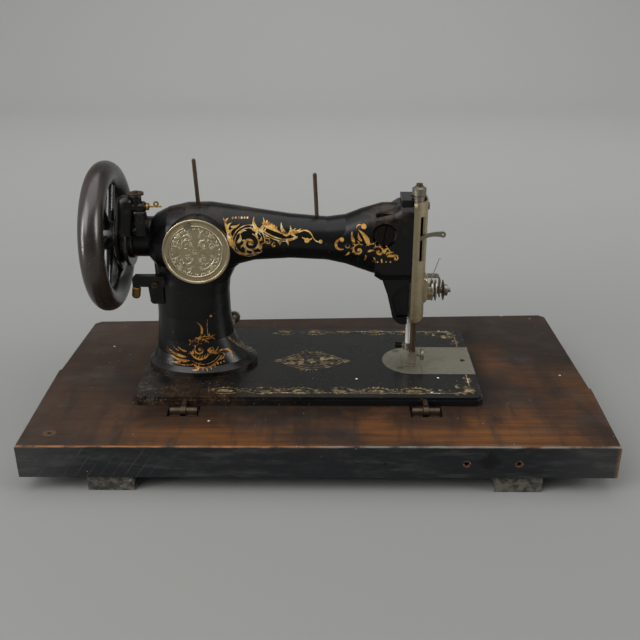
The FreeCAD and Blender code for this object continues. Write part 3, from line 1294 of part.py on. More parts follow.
def winder_parts():
    bracket = new_body("winder_bracket")
    far = "(winder_y + 22)"
    foot = outline(new_sketch(bracket, "YZ_Plane", "winder_x + 10.5"), [
        ("winder_y + 7", f"{WINDER_Z} - 30"), (far, f"{WINDER_Z} - 30"),
        (f"{MIDDLE} - 4", f"{WINDER_Z} - 22"), (f"{MIDDLE} - 9", f"{WINDER_Z} - 16"),
        ("winder_y + 7", f"{WINDER_Z} - 9")])
    pad(bracket, foot, 6.5)
    front = outline(new_sketch(bracket, "YZ_Plane", "winder_x + 12.7"), [
        ("winder_y - 4", f"{WINDER_Z} - 30"), ("winder_y + 9", f"{WINDER_Z} - 30"),
        ("winder_y + 9", f"{WINDER_Z} - 8"), ("winder_y + 5", f"{WINDER_Z} - 6.5"),
        ("winder_y - 4", f"{WINDER_Z} - 6.5")])
    pad(bracket, front, 9.3)
    seat = place(rod("boss_dia", 30), "boss_start", MIDDLE, "shaft_height", ALONG_X)
    pivot_hole = place(rod("winder_pin", 40), "winder_x - 2", "winder_y + 3",
                       f"{WINDER_Z} - 19", ALONG_X)
    keep("winder_bracket", machine(cut(bracket, seat, pivot_hole)))
    pin = rod("winder_pin", 22)
    head = place(rod("winder_pin + 3", 1.6), z=22)
    keep("winder_pivot", machine(fuse(pin, head), "winder_x", "winder_y + 3",
                                 f"{WINDER_Z} - 19", ALONG_X))
    bell = turned("bell", [
        ("bell_low - 1.8", 0), ("bell_low", 0),
        ("bell_top", "bell_high - 6", f"bell_top - 6 * {ARC}", f"bell_high - 6 * {ARC}"),
        ("bell_top - 6", "bell_high"), (0, "bell_high"), (0, "bell_high - 2"),
        ("bell_top - 6", "bell_high - 2"), ("bell_top - 1.8", "bell_high - 7")])
    place(bell, "winder_x - 1", "winder_y - 1", f"{WINDER_Z} - 28.5", BELL_LEAN)
    half = place(box(60, 30, 80), "winder_x - 30", "winder_y + 0.5", f"{WINDER_Z} - 40")
    bell = cut(bell, half)
    web = new_body("web")
    strap = outline(new_sketch(web, "YZ_Plane", "winder_x + 2.5"), [
        ("winder_y - 1.5", f"{WINDER_Z} - 24"), ("winder_y + 7.5", f"{WINDER_Z} - 24"),
        ("winder_y + 7.5", f"{WINDER_Z} - 14"), ("winder_y + 5", f"{WINDER_Z} + 5.5"),
        ("winder_y - 1.5", f"{WINDER_Z} + 5.5")])
    pad(web, strap, 7.4)
    sleeve = turned("sleeve", [
        (0, 0), ("winder_boss / 2", 0),
        ("winder_boss / 2", 18, f"winder_boss / 2 - 3 * {ARC}", 21 - 3 * ARC),
        ("winder_boss / 2 - 3", 21), (0, 21)])
    place(sleeve, "winder_x + 3.5", "winder_y", WINDER_Z, ALONG_X)
    post = place(rod(10.6, 10), "winder_x + 15", "winder_y", WINDER_Z)
    bore = place(rod("winder_shaft + 2 * running_fit", 60), "winder_x - 4", "winder_y",
                 WINDER_Z, ALONG_X)
    swing = place(rod("winder_pin + 2 * running_fit", 30), "winder_x - 4", "winder_y + 3",
                  f"{WINDER_Z} - 19", ALONG_X)
    keep("winder_frame", machine(cut(fuse(bell, web, sleeve, post), bore, swing)))
    spindle = place(rod("winder_shaft", 29), "winder_x - 1.6", "winder_y", WINDER_Z, ALONG_X)
    tyre = place(rod(7, 3), "winder_x - 1", "winder_y", WINDER_Z, ALONG_X)
    collar = place(rod(7.4, 2), "winder_x + 25", "winder_y", WINDER_Z, ALONG_X)
    wire = place(rod(1.6, 14), "winder_x + 26", "winder_y", WINDER_Z, ALONG_X)
    ring = place(cut(rod(5.6, 1.4), place(rod(2.8, 4), z=-1)), "winder_x + 34.5",
                 "winder_y + 0.7", f"{WINDER_Z} + 2.6", TOWARDS_HINGES)
    keep("winder_spindle", machine(fuse(spindle, tyre, collar, wire, ring)))
    stack = turned("winder_tension", [
        (0, 0), (1.6, 0), (1.6, 1), (7.9, 2.2), (7.9, 2.9), (5, 2.2), (5, 3), (7.9, 3.6),
        (7.9, 4.3), (2.4, 4.6), (2.4, 6), (0, 6)])
    keep("winder_tension", machine(stack, "winder_x + 15", "winder_y", f"{WINDER_Z} + 10"))


def side_bracket(pillar):
    bar = new_body("bar")
    rail = outline(new_sketch(bar, "XZ_Plane", "-side_y - 4"), [
        (0, 0), ("pillar_left + 14 - side_x", 0), ("pillar_left + 14 - side_x", "side_high"),
        ("2.5", "side_high"), (0, "side_high - 2.5")])
    pad(bar, rail, 8)
    leg = outline(new_sketch(bar, "XZ_Plane", "-side_y - 4"), [
        ("pillar_left - side_x - 2.5", "-17"), ("pillar_left - side_x", "-19.5"),
        ("pillar_left - side_x + 12", "-19.5"), ("pillar_left - side_x + 12", "2"),
        ("pillar_left - side_x - 4", "2")])
    pad(bar, leg, 8)
    piece = machine(bar, "side_x", 0, "side_z")
    hole = machine(rod("side_screw", 30), SIDE_SCREW_X, "side_y - 5", SIDE_SCREW_Z,
                   AWAY_FROM_HINGES)
    socket = machine(rod(3.4, 22), "side_x + 1.5", "side_y", "side_z - 14.2", PEG_TURN)
    keep("side_bracket", cut(piece, pillar, hole, socket))
    screw = slotted_screw("side_screw_head", 2.2, "side_screw", 18, 1.2)
    keep("side_bracket_screw", machine(screw, SIDE_SCREW_X, "side_y - 4", SIDE_SCREW_Z,
                                       TOWARDS_HINGES))
    peg = turned("side_bracket_peg", [
        (0, 0), (3.4, 0.8), (4.6, 3), (4.6, 12), (3.6, 13.2), (1.7, 13.2), (1.7, 20),
        (0, 20)])
    keep("side_bracket_peg", machine(peg, "side_x + 1.5", "side_y", "side_z - 14.2",
                                     PEG_TURN))


# Under the bed ----------------------------------------------------------------------------

def hook_parts():
    def on_axis(thing, x):
        return machine(thing, x, MIDDLE, HOOK_Z, ALONG_X)

    shaft = on_axis(rod("hook_shaft", "hook_x - hook_shaft_start"), "hook_shaft_start")
    driver = on_axis(rod("hook_dia - 6", 5), "hook_x - 5")
    crank = on_axis(rod("hook_shaft + 7", 8), "hook_shaft_start - 3")
    keep("hook_shaft", fuse(shaft, driver, crank))
    hook = turned("hook", [
        ("case_dia / 2 + 0.5", 0), ("hook_dia / 2", 0), ("hook_dia / 2", "hook_wide"),
        ("case_dia / 2 + 3", "hook_wide"), ("case_dia / 2 + 0.5", "hook_wide - 2")])
    doc.recompute()
    notch = outline(new_sketch(hook, "XY_Plane", "hook_wide + 1"), [
        ("-hook_dia / 2 - 2", "4"), ("-case_dia / 2 + 6", "1"), ("-case_dia / 2 + 6", "12"),
        ("-hook_dia / 2 - 2", "17")])
    pocket(hook, notch, "hook_wide - 1")
    keep("shuttle_hook", on_axis(hook, "hook_x"))
    ring = turned("race", [
        ("hook_dia / 2 + slide_gap", 0), ("race_dia / 2", 0), ("race_dia / 2", "hook_wide"),
        ("hook_dia / 2 + slide_gap", "hook_wide")])
    ears = []
    low = f"(-{HOOK_Z} - bed_skin - 14)"
    for side in (-1, 1):
        ear = new_body("ear")
        inner = "race_dia / 2 - 2"
        sketch = outline(new_sketch(ear, "YZ_Plane"), [
            (f"{side} * ({inner})", "3"), (f"{side} * ({inner})", "11"),
            (f"{side} * (plate_width / 2 - 3)", low), (f"{side} * (plate_width / 2 - 3)",
                                                       f"-{HOOK_Z} - bed_skin"),
            (f"{side} * (plate_width / 2 + 9)", f"-{HOOK_Z} - bed_skin"),
            (f"{side} * (plate_width / 2 + 9)", f"{low} + 6")])
        pad(ear, sketch, 5)
        ears.append(machine(ear, "hook_x", MIDDLE, HOOK_Z))
    keep("shuttle_race", fuse(on_axis(ring, "hook_x"), *ears))
    case = turned("bobbin_case", [
        (0, 0), ("case_dia / 2", 0), ("case_dia / 2", "-case_deep"),
        ("case_dia / 2 - case_wall", "-case_deep"), ("case_dia / 2 - case_wall",
                                                     "-case_wall"),
        ("case_post / 2", "-case_wall"), ("case_post / 2", "-case_deep + 1"),
        (0, "-case_deep + 1")])
    keep("bobbin_case", on_axis(case, "hook_x + case_deep + 2"))
    reel, wall = "(case_dia / 2 - case_wall - 0.4)", "0.9"
    length = "(case_deep - case_wall - 1.6)"
    bobbin = turned("bobbin", [
        ("case_post / 2 + 0.3", 0), (reel, 0), (reel, wall), ("case_post / 2 + 1.4", wall),
        ("case_post / 2 + 1.4", f"{length} - {wall}"), (reel, f"{length} - {wall}"),
        (reel, length), ("case_post / 2 + 0.3", length)])
    keep("bobbin", on_axis(bobbin, "hook_x + 3.1"))


def feed_parts():
    start = "(hook_shaft_start)"
    ends = f"(feed_bar_x + feed_bar_wide - {start})"
    for label, y in (("feed_rock_shaft", FEED_Y), ("feed_lift_shaft", LIFT_Y)):
        shaft = machine(rod("feed_shaft", ends), start, y, FEED_Z, ALONG_X)
        lever = machine(box("feed_bar_wide", 4, f"-{FEED_Z} - feed_top - feed_bar_high"),
                        "feed_bar_x", f"{y} - 2", FEED_Z)
        hub = machine(rod("feed_shaft + 5", "feed_bar_wide"), "feed_bar_x", y, FEED_Z,
                      ALONG_X)
        tail = machine(box(7, 6, 22), f"{start} - 3", f"{y} - 3", f"{FEED_Z} - 18")
        keep(label, fuse(shaft, lever, hub, tail))
    bar = new_body("feed_bar")
    corners = [(f"{FEED_Y} - 6", "-feed_bar_high")]
    for y in (FEED_Y, LIFT_Y):
        corners += [(f"{y} - 4", "-feed_bar_high"), (f"{y} - 4", "-feed_bar_high + 0.5"),
                    (f"{y} + 4", "-feed_bar_high + 0.5"), (f"{y} + 4", "-feed_bar_high")]
    corners += [(f"{LIFT_Y} + 7", "-feed_bar_high"), (f"{LIFT_Y} + 7", "0"),
                (f"{FEED_Y} - 6", "0")]
    sketch = outline(new_sketch(bar, "YZ_Plane"), corners)
    pad(bar, sketch, "feed_bar_wide")
    keep("feed_bar", machine(bar, "feed_bar_x", 0, "-feed_top"))
    dog = new_body("feed_dog")
    tray = new_sketch(dog)
    reach = "(dog_long / 2)"
    outline(tray, rectangle("feed_bar_x + 1", f"{NEEDLE_HOLE} + tooth_row + tooth_width",
                            f"{MIDDLE} - {reach}", f"{MIDDLE} + {reach}"))
    circle(tray, NEEDLE_HOLE, MIDDLE, 6)
    pad(dog, tray, "dog_thick")
    for side in (-1, 1):
        row = f"({NEEDLE_HOLE} + {side} * tooth_row - tooth_width / 2)"
        corners = [(f"{MIDDLE} + {reach}", "dog_thick - 0.2"),
                   (f"{MIDDLE} - {reach}", "dog_thick - 0.2")]
        for tooth in range(TEETH):
            y = f"{MIDDLE} - {reach} + dog_long * {tooth} / {TEETH}"
            corners += [(y, "tooth_tip - tooth_deep"), (f"{y} + dog_long / {TEETH} * 0.9",
                                                        "tooth_tip")]
        corners.append((f"{MIDDLE} + {reach}", "tooth_tip - tooth_deep"))
        comb = outline(new_sketch(dog, "YZ_Plane", row), corners)
        pad(dog, comb, "tooth_width")
    keep("feed_dog", machine(dog, 0, 0, "-feed_top"))


TEETH = 9
LEANING = Rotation(Vector(0, 1, 0), -2.4)
PEG_TURN = Rotation(Vector(0, 1, 0), 8)
STITCH_X, STITCH_Y, STITCH_Z = "(pillar_right - 2.1)", f"({MIDDLE} + 4)", "stitch_height"
SIDE_SCREW_X, SIDE_SCREW_Z = "(pillar_left + 3.5)", "(side_z + 2.5)"


# Build and write --------------------------------------------------------------------------

def check_document():
    """Every object of the document has to be good before anything is written."""
    doc.recompute()
    for item in doc.Objects:
        if "Invalid" in item.State or "Error" in item.State:
            raise ValueError(f"{item.Name} ({item.Label}) failed: {item.State}")
    for label, item in subparts.items():
        if item.Shape.isNull() or not item.Shape.isValid() or not item.Shape.Solids:
            raise ValueError(f"{label} has no good solid")


def write_parts():
    os.makedirs("parts", exist_ok=True)
    for label, item in subparts.items():
        item.Shape.exportStep(os.path.join("parts", label + ".step"))
        print(f"{label:26s} solids {len(item.Shape.Solids):2d}  volume {item.Shape.Volume:10.1f}")




base_board()
hinges()
bed()
bed_plates()
arm()
face_plate()
needle_parts()
take_up()
presser_parts()
tension_parts()
shaft_parts()
cover_parts()
winder_parts()
hook_parts()
feed_parts()
check_document()
write_parts()
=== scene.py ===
"""Finishes, gold ornament and stage for an antique sewing machine on its base board.

Lengths are metres in the machine's own frame: +X towards the needle, +Y away from the
hinges, +Z up, with the origin on the floor under the middle of the board.
"""

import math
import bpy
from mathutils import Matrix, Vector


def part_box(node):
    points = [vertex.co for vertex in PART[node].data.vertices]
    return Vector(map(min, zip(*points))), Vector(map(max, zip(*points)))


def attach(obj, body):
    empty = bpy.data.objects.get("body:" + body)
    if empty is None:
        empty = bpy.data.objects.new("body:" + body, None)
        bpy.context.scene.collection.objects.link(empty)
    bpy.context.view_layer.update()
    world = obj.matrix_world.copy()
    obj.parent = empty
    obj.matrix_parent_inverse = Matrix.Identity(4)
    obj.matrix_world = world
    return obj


bl_info = {
    "name": "Antique Sewing Machine",
    "version": (1, 0, 0),
    "blender": (4, 5, 0),
    "location": "View3D > Sidebar > Sewing Machine",
    "description": "Finishes, gold ornament and stage for an antique sewing machine",
    "category": "Object",
}

import bmesh
import bpy
from bpy.props import FloatProperty, FloatVectorProperty, PointerProperty
from mathutils import Matrix, Vector
from mathutils.bvhtree import BVHTree

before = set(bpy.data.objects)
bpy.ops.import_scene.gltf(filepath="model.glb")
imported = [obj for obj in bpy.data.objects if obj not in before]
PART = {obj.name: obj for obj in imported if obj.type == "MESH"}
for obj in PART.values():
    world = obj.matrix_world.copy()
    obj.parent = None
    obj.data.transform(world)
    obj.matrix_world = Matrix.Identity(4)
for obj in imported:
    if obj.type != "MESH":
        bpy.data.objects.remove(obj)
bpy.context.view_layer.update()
BED_LOW, BED_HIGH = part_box("bed")
BOARD_LOW, BOARD_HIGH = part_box("plank_near")
COVER_LOW, COVER_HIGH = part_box("rear_cover_plate")
MM = 0.001


def tone(code):
    """A colour written as on a paint card, made linear."""
    parts = [int(code[i:i + 2], 16) / 255 for i in (0, 2, 4)]
    return tuple(c / 12.92 if c <= 0.04045 else ((c + 0.055) / 1.055) ** 2.4
                 for c in parts) + (1.0,)


# Material kit -----------------------------------------------------------------------------

class Value:
    """One output inside a finish; arithmetic on it adds Math nodes."""

    def __init__(self, finish, socket):
        self.finish = finish
        self.socket = socket

    def maths(self, operation, *others):
        return self.finish.node("ShaderNodeMath", {"operation": operation}, *others)

    def __add__(self, other):
        return self.maths("ADD", self, other)

    def __sub__(self, other):
        return self.maths("SUBTRACT", self, other)

    def __rsub__(self, other):
        return self.maths("SUBTRACT", other, self)

    def __mul__(self, other):
        return self.maths("MULTIPLY", self, other)

    def __abs__(self):
        return self.maths("ABSOLUTE", self)

    def __or__(self, other):
        return self.maths("MAXIMUM", self, other)

    __radd__ = __add__
    __rmul__ = __mul__

    def sine(self):
        return self.maths("SINE", self)

    def rise(self, low, high):
        """0 below low, 1 above high and smooth between them; low may be the higher."""
        ends = (low, high, 0.0, 1.0) if low < high else (high, low, 1.0, 0.0)
        return self.finish.node("ShaderNodeMapRange", {"interpolation_type": "SMOOTHSTEP"},
                                self, *ends)


class Finish:
    """A material being made, with the coordinates and patterns its colours are mixed from."""

    def __init__(self, name, **constants):
        self.material = bpy.data.materials.new(name)
        self.material.use_nodes = True
        self.tree = self.material.node_tree
        self.shader = self.tree.nodes["Principled BSDF"]
        self.connect(self.shader, constants.items())
        self.place = self.node("ShaderNodeTexCoord", output="Object")
        self.x, self.y, self.z = self.axes(self.place)
        self.facing = self.axes(self.node("ShaderNodeTexCoord", output="Normal"))

    def node(self, kind, settings=None, *values, output=0, **named):
        """Add a node: its settings first, then the values or links of its sockets."""
        made = self.tree.nodes.new(kind)
        for name, setting in (settings or {}).items():
            setattr(made, name, setting)
        self.connect(made, [*enumerate(values), *named.items()])
        return Value(self, made.outputs[output])

    def connect(self, node, values):
        """Link values to a node's sockets, or set the ones that are plain."""
        for key, value in values:
            socket = node.inputs[key if isinstance(key, int) else key.replace("_", " ")]
            if isinstance(value, Value):
                self.tree.links.new(value.socket, socket)
            elif value is not None:
                socket.default_value = value

    def axes(self, vector):
        split = self.node("ShaderNodeSeparateXYZ", None, vector).socket.node
        return [Value(self, socket) for socket in split.outputs]

    def stretched(self, stretch, shift=(0, 0, 0)):
        return self.node("ShaderNodeMapping", None, self.place, shift, (0, 0, 0), stretch)

    def noise(self, scale, detail=3, stretch=(1, 1, 1), rough=0.55, shift=(0, 0, 0)):
        return self.node("ShaderNodeTexNoise", None, Vector=self.stretched(stretch, shift),
                         Scale=scale, Detail=detail, Roughness=rough)

    def specks(self, scale, size, share, shift=(0, 0, 0)):
        """Scattered dots: size of one against its cell, and the share of cells with one."""
        where = self.stretched((1, 1, 1), shift)
        distance = self.node("ShaderNodeTexVoronoi", None, Vector=where, Scale=scale)
        chance = self.node("ShaderNodeTexVoronoi", None, Vector=where, Scale=scale,
                           output="Color")
        picked = self.axes(chance)[0].rise(share, share * 0.8)
        return distance.rise(size, size * 0.5) * picked

    def disc(self, first, second, centre, size, squash=1.0):
        """1 inside a round spot on two of the axes and 0 outside it."""
        a, b = first - centre[0], second - centre[1]
        return (a * a + b * b * squash).rise(size * size, size * size * 0.4)

    def blend(self, factor, first, second):
        mix = self.tree.nodes.new("ShaderNodeMix")
        mix.data_type = "RGBA"
        self.connect(mix, ((0, factor), (6, first), (7, second)))
        return Value(self, mix.outputs[2])

    def coats(self, body, *layers):
        """Lay colours over a body in turn, each as far as its own mask lets it."""
        for mask, code in layers:
            body = self.blend(mask, body, tone(code) if isinstance(code, str) else code)
        return body

    def bump(self, height, depth):
        return self.node("ShaderNodeBump", None, Height=height, Distance=depth, Strength=1.0)

    def feed(self, **links):
        self.connect(self.shader, links.items())
        return self.material


def wear(finish, *names):
    """Give nodes of the machine a finish."""
    for name in names:
        for slot in PART[name].material_slots:
            slot.material = finish


# Sizes and colours ------------------------------------------------------------------------

def colour(label, note, code):
    return FloatVectorProperty(name=label, description=note, subtype="COLOR", size=4,
                               min=0.0, max=1.0, default=tone(code))


def length(label, note, default):
    return FloatProperty(name=label, description=note, unit="LENGTH", default=default)


def degrees(label, note, default):
    return FloatProperty(name=label, description=note, subtype="ANGLE",
                         default=math.radians(default))


class BoardLook(bpy.types.PropertyGroup):
    """Stain, paint and wear of the wooden base board."""
    stain: colour("Stain", "Dark stain of the planks", "261D18")
    warm: colour("Warm wood", "Where the stain is rubbed thin", "84501F")
    dust: colour("Dust", "Greyed wood", "4A423C")
    paint: colour("Edge paint", "Black paint on the edges of the planks", "1B1C1E")
    bare: colour("Bare arris", "Bare wood along the top edge", "8A5A36")
    batten: colour("Batten", "Old unpainted battens", "5B574E")
    arris: length("Arris wear", "Width of the bare line along the edge", 0.0011)


class EnamelLook(bpy.types.PropertyGroup):
    """Japan enamel of the castings."""
    black: colour("Japan", "Black japan enamel", "060606")
    brown: colour("Browned", "Where the japan is rubbed brown", "3A2A1D")
    dust: colour("Dust", "Dust in the corners", "6E6A62")
    gloss: FloatProperty(name="Roughness", description="Roughness of clean japan",
                         min=0.0, max=1.0, default=0.2)


class MetalLook(bpy.types.PropertyGroup):
    """Plated, polished and browned metal."""
    nickel: colour("Nickel", "Worn nickel of the needle and slide plates", "9F9A8B")
    champagne: colour("Yellowed nickel", "Cover and face plate", "AFA284")
    bright: colour("Polished steel", "Rubbed bars and rings", "D8D4CB")
    brown: colour("Browned steel", "Screws and hinges", "5B4E40")
    brass: colour("Brass", "Dull brass", "96763E")


class OrnamentLook(bpy.types.PropertyGroup):
    """Gold ornament on the bed, arm and pillar."""
    gold: colour("Gold", "Fresh gold of the arm's ornament", "C79B4B")
    shade: colour("Shade", "Shaded gold", "7A4F1C")
    cream: colour("Cream", "Palest gold", "D8CDA6")
    orange: colour("Deep gold", "Deeper gold of the pillar's ornament", "AE7A34")
    faded: colour("Faded gold", "Worn gold on the bed", "7C6A4C")
    lift: length("Lift", "Height of the ornament above the enamel", 0.00008)
    line: length("Line", "Width of the gold line round the bed", 0.0011)


class StageLook(bpy.types.PropertyGroup):
    """Floor, backdrop and camera."""
    floor: colour("Floor", "Pale floor", "81817E")
    wall: colour("Backdrop", "Paler backdrop behind the floor", "CECECB")
    lens: FloatProperty(name="Lens", description="Focal length on a 36 mm sensor, in mm",
                        default=46.575)
    pitch: degrees("Pitch", "Camera's tilt down", 23.95)
    turn: degrees("Turn", "Camera's turn to the left", 1.0)
    roll: degrees("Roll", "Camera's roll", -0.304)
    stand: FloatVectorProperty(name="Stand", description="Where the camera stands",
                               subtype="XYZ", unit="LENGTH",
                               default=(0.0162, -0.8345, 0.4874))


# Stage ------------------------------------------------------------------------------------

class MACHINE_OT_stage(bpy.types.Operator):
    """Floor, backdrop, lamps and camera"""
    bl_idname = "machine.stage"
    bl_label = "Stage"

    def execute(self, context):
        look = context.scene.machine_stage
        self.camera(context, look)
        self.floor(context, look)
        self.lamps(context)
        return {"FINISHED"}

    def camera(self, context, look):
        camera = bpy.data.objects.new("camera", bpy.data.cameras.new("camera"))
        camera.data.sensor_width = 36
        camera.data.lens = look.lens
        camera.data.clip_end = 30
        camera.matrix_world = (
            Matrix.Translation(look.stand)
            @ Matrix.Rotation(look.turn, 4, "Z")
            @ Matrix.Rotation(math.pi / 2 - look.pitch, 4, "X")
            @ Matrix.Rotation(look.roll, 4, "Z"))
        context.scene.collection.objects.link(camera)
        context.scene.camera = camera

    def floor(self, context, look):
        work = bmesh.new()
        bmesh.ops.create_grid(work, x_segments=1, y_segments=1, size=4)
        far = [edge for edge in work.edges if all(v.co.y > 0 for v in edge.verts)]
        bmesh.ops.translate(work, vec=(0, -2, 0), verts=work.verts)
        swept = bmesh.ops.spin(work, geom=far, axis=(1, 0, 0), cent=(0, 2, 1.2),
                               angle=math.radians(90), steps=24)
        last = only(bmesh.types.BMEdge, swept["geom_last"])
        wall = bmesh.ops.extrude_edge_only(work, edges=last)
        bmesh.ops.translate(work, vec=(0, 0, 4), verts=only(bmesh.types.BMVert, wall["geom"]))
        bmesh.ops.recalc_face_normals(work, faces=work.faces)
        for face in work.faces:
            face.smooth = True
        sweep = Finish("backdrop_paper", Roughness=0.85)
        # Painted light: the paper's colour runs from the floor's grey to a much paler
        # backdrop, standing in for the backdrop being lit brighter than the floor.
        paper_with_painted_light = sweep.blend(sweep.y.rise(-0.3, 2.15), look.floor, look.wall)
        stage = piece("backdrop", work, sweep.feed(Base_Color=paper_with_painted_light))

    def lamps(self, context):
        world = bpy.data.worlds.new("room")
        context.scene.world = world
        world.use_nodes = True
        nodes, links = world.node_tree.nodes, world.node_tree.links
        sky = nodes["Background"]
        sky.inputs["Color"].default_value = (0.96, 0.98, 1, 1)
        # The room is darker behind the camera than over the backdrop.
        coordinate = nodes.new("ShaderNodeTexCoord")
        split = nodes.new("ShaderNodeSeparateXYZ")
        fade = nodes.new("ShaderNodeMapRange")
        for socket, value in zip(fade.inputs[1:5], (-0.7, 0.3, 0.13, 0.46)):
            socket.default_value = value
        links.new(coordinate.outputs["Generated"], split.inputs[0])
        links.new(split.outputs["Y"], fade.inputs[0])
        links.new(fade.outputs[0], sky.inputs["Strength"])
        for name, place, aim, size, power in (
                ("key_lamp", (-1.2, -1.3, 1.7), (0, 0, 0.12), (1.5, 1.5), 31),
                ("top_lamp", (0.2, -0.1, 2.3), (0, 0.1, 0.1), (2.4, 2.4), 26),
                ("side_lamp", (1.9, -0.6, 0.9), (0, 0, 0.1), (0.7, 1.0), 18),
                ("rim_lamp", (-1.5, -0.75, 0.5), (-0.25, 0, 0.2), (0.12, 1.0), 12)):
            light = bpy.data.lights.new(name, "AREA")
            light.shape = "RECTANGLE"
            light.size, light.size_y = size
            light.energy = power
            lamp = bpy.data.objects.new(name, light)
            lamp.location = place
            lamp.rotation_euler = (Vector(aim) - Vector(place)).to_track_quat(
                "-Z", "Y").to_euler()
            context.scene.collection.objects.link(lamp)
        context.scene.view_settings.view_transform = "Standard"


def only(kind, geometry):
    return [item for item in geometry if isinstance(item, kind)]


def piece(name, work, finish):
    """Finish a mesh: make it an object at the origin and give it its material."""
    mesh = bpy.data.meshes.new(name)
    work.to_mesh(mesh)
    work.free()
    made = bpy.data.objects.new(name, mesh)
    made.data.materials.append(finish)
    bpy.context.scene.collection.objects.link(made)
    return made


# Base board -------------------------------------------------------------------------------

# X and Z on the edge that faces the hinges' side.
EDGE_HOLES = (0.1457, 0.0345), (0.1963, 0.0345)
NAIL_HOLE = (0.0664, 0.0345)
# X and Y on the top.
KNOT = (-0.2645, -0.1358)
HINGES = (-0.137, -0.098), (0.114, -0.098)
DARK_STAIN = (0.04, -0.081)


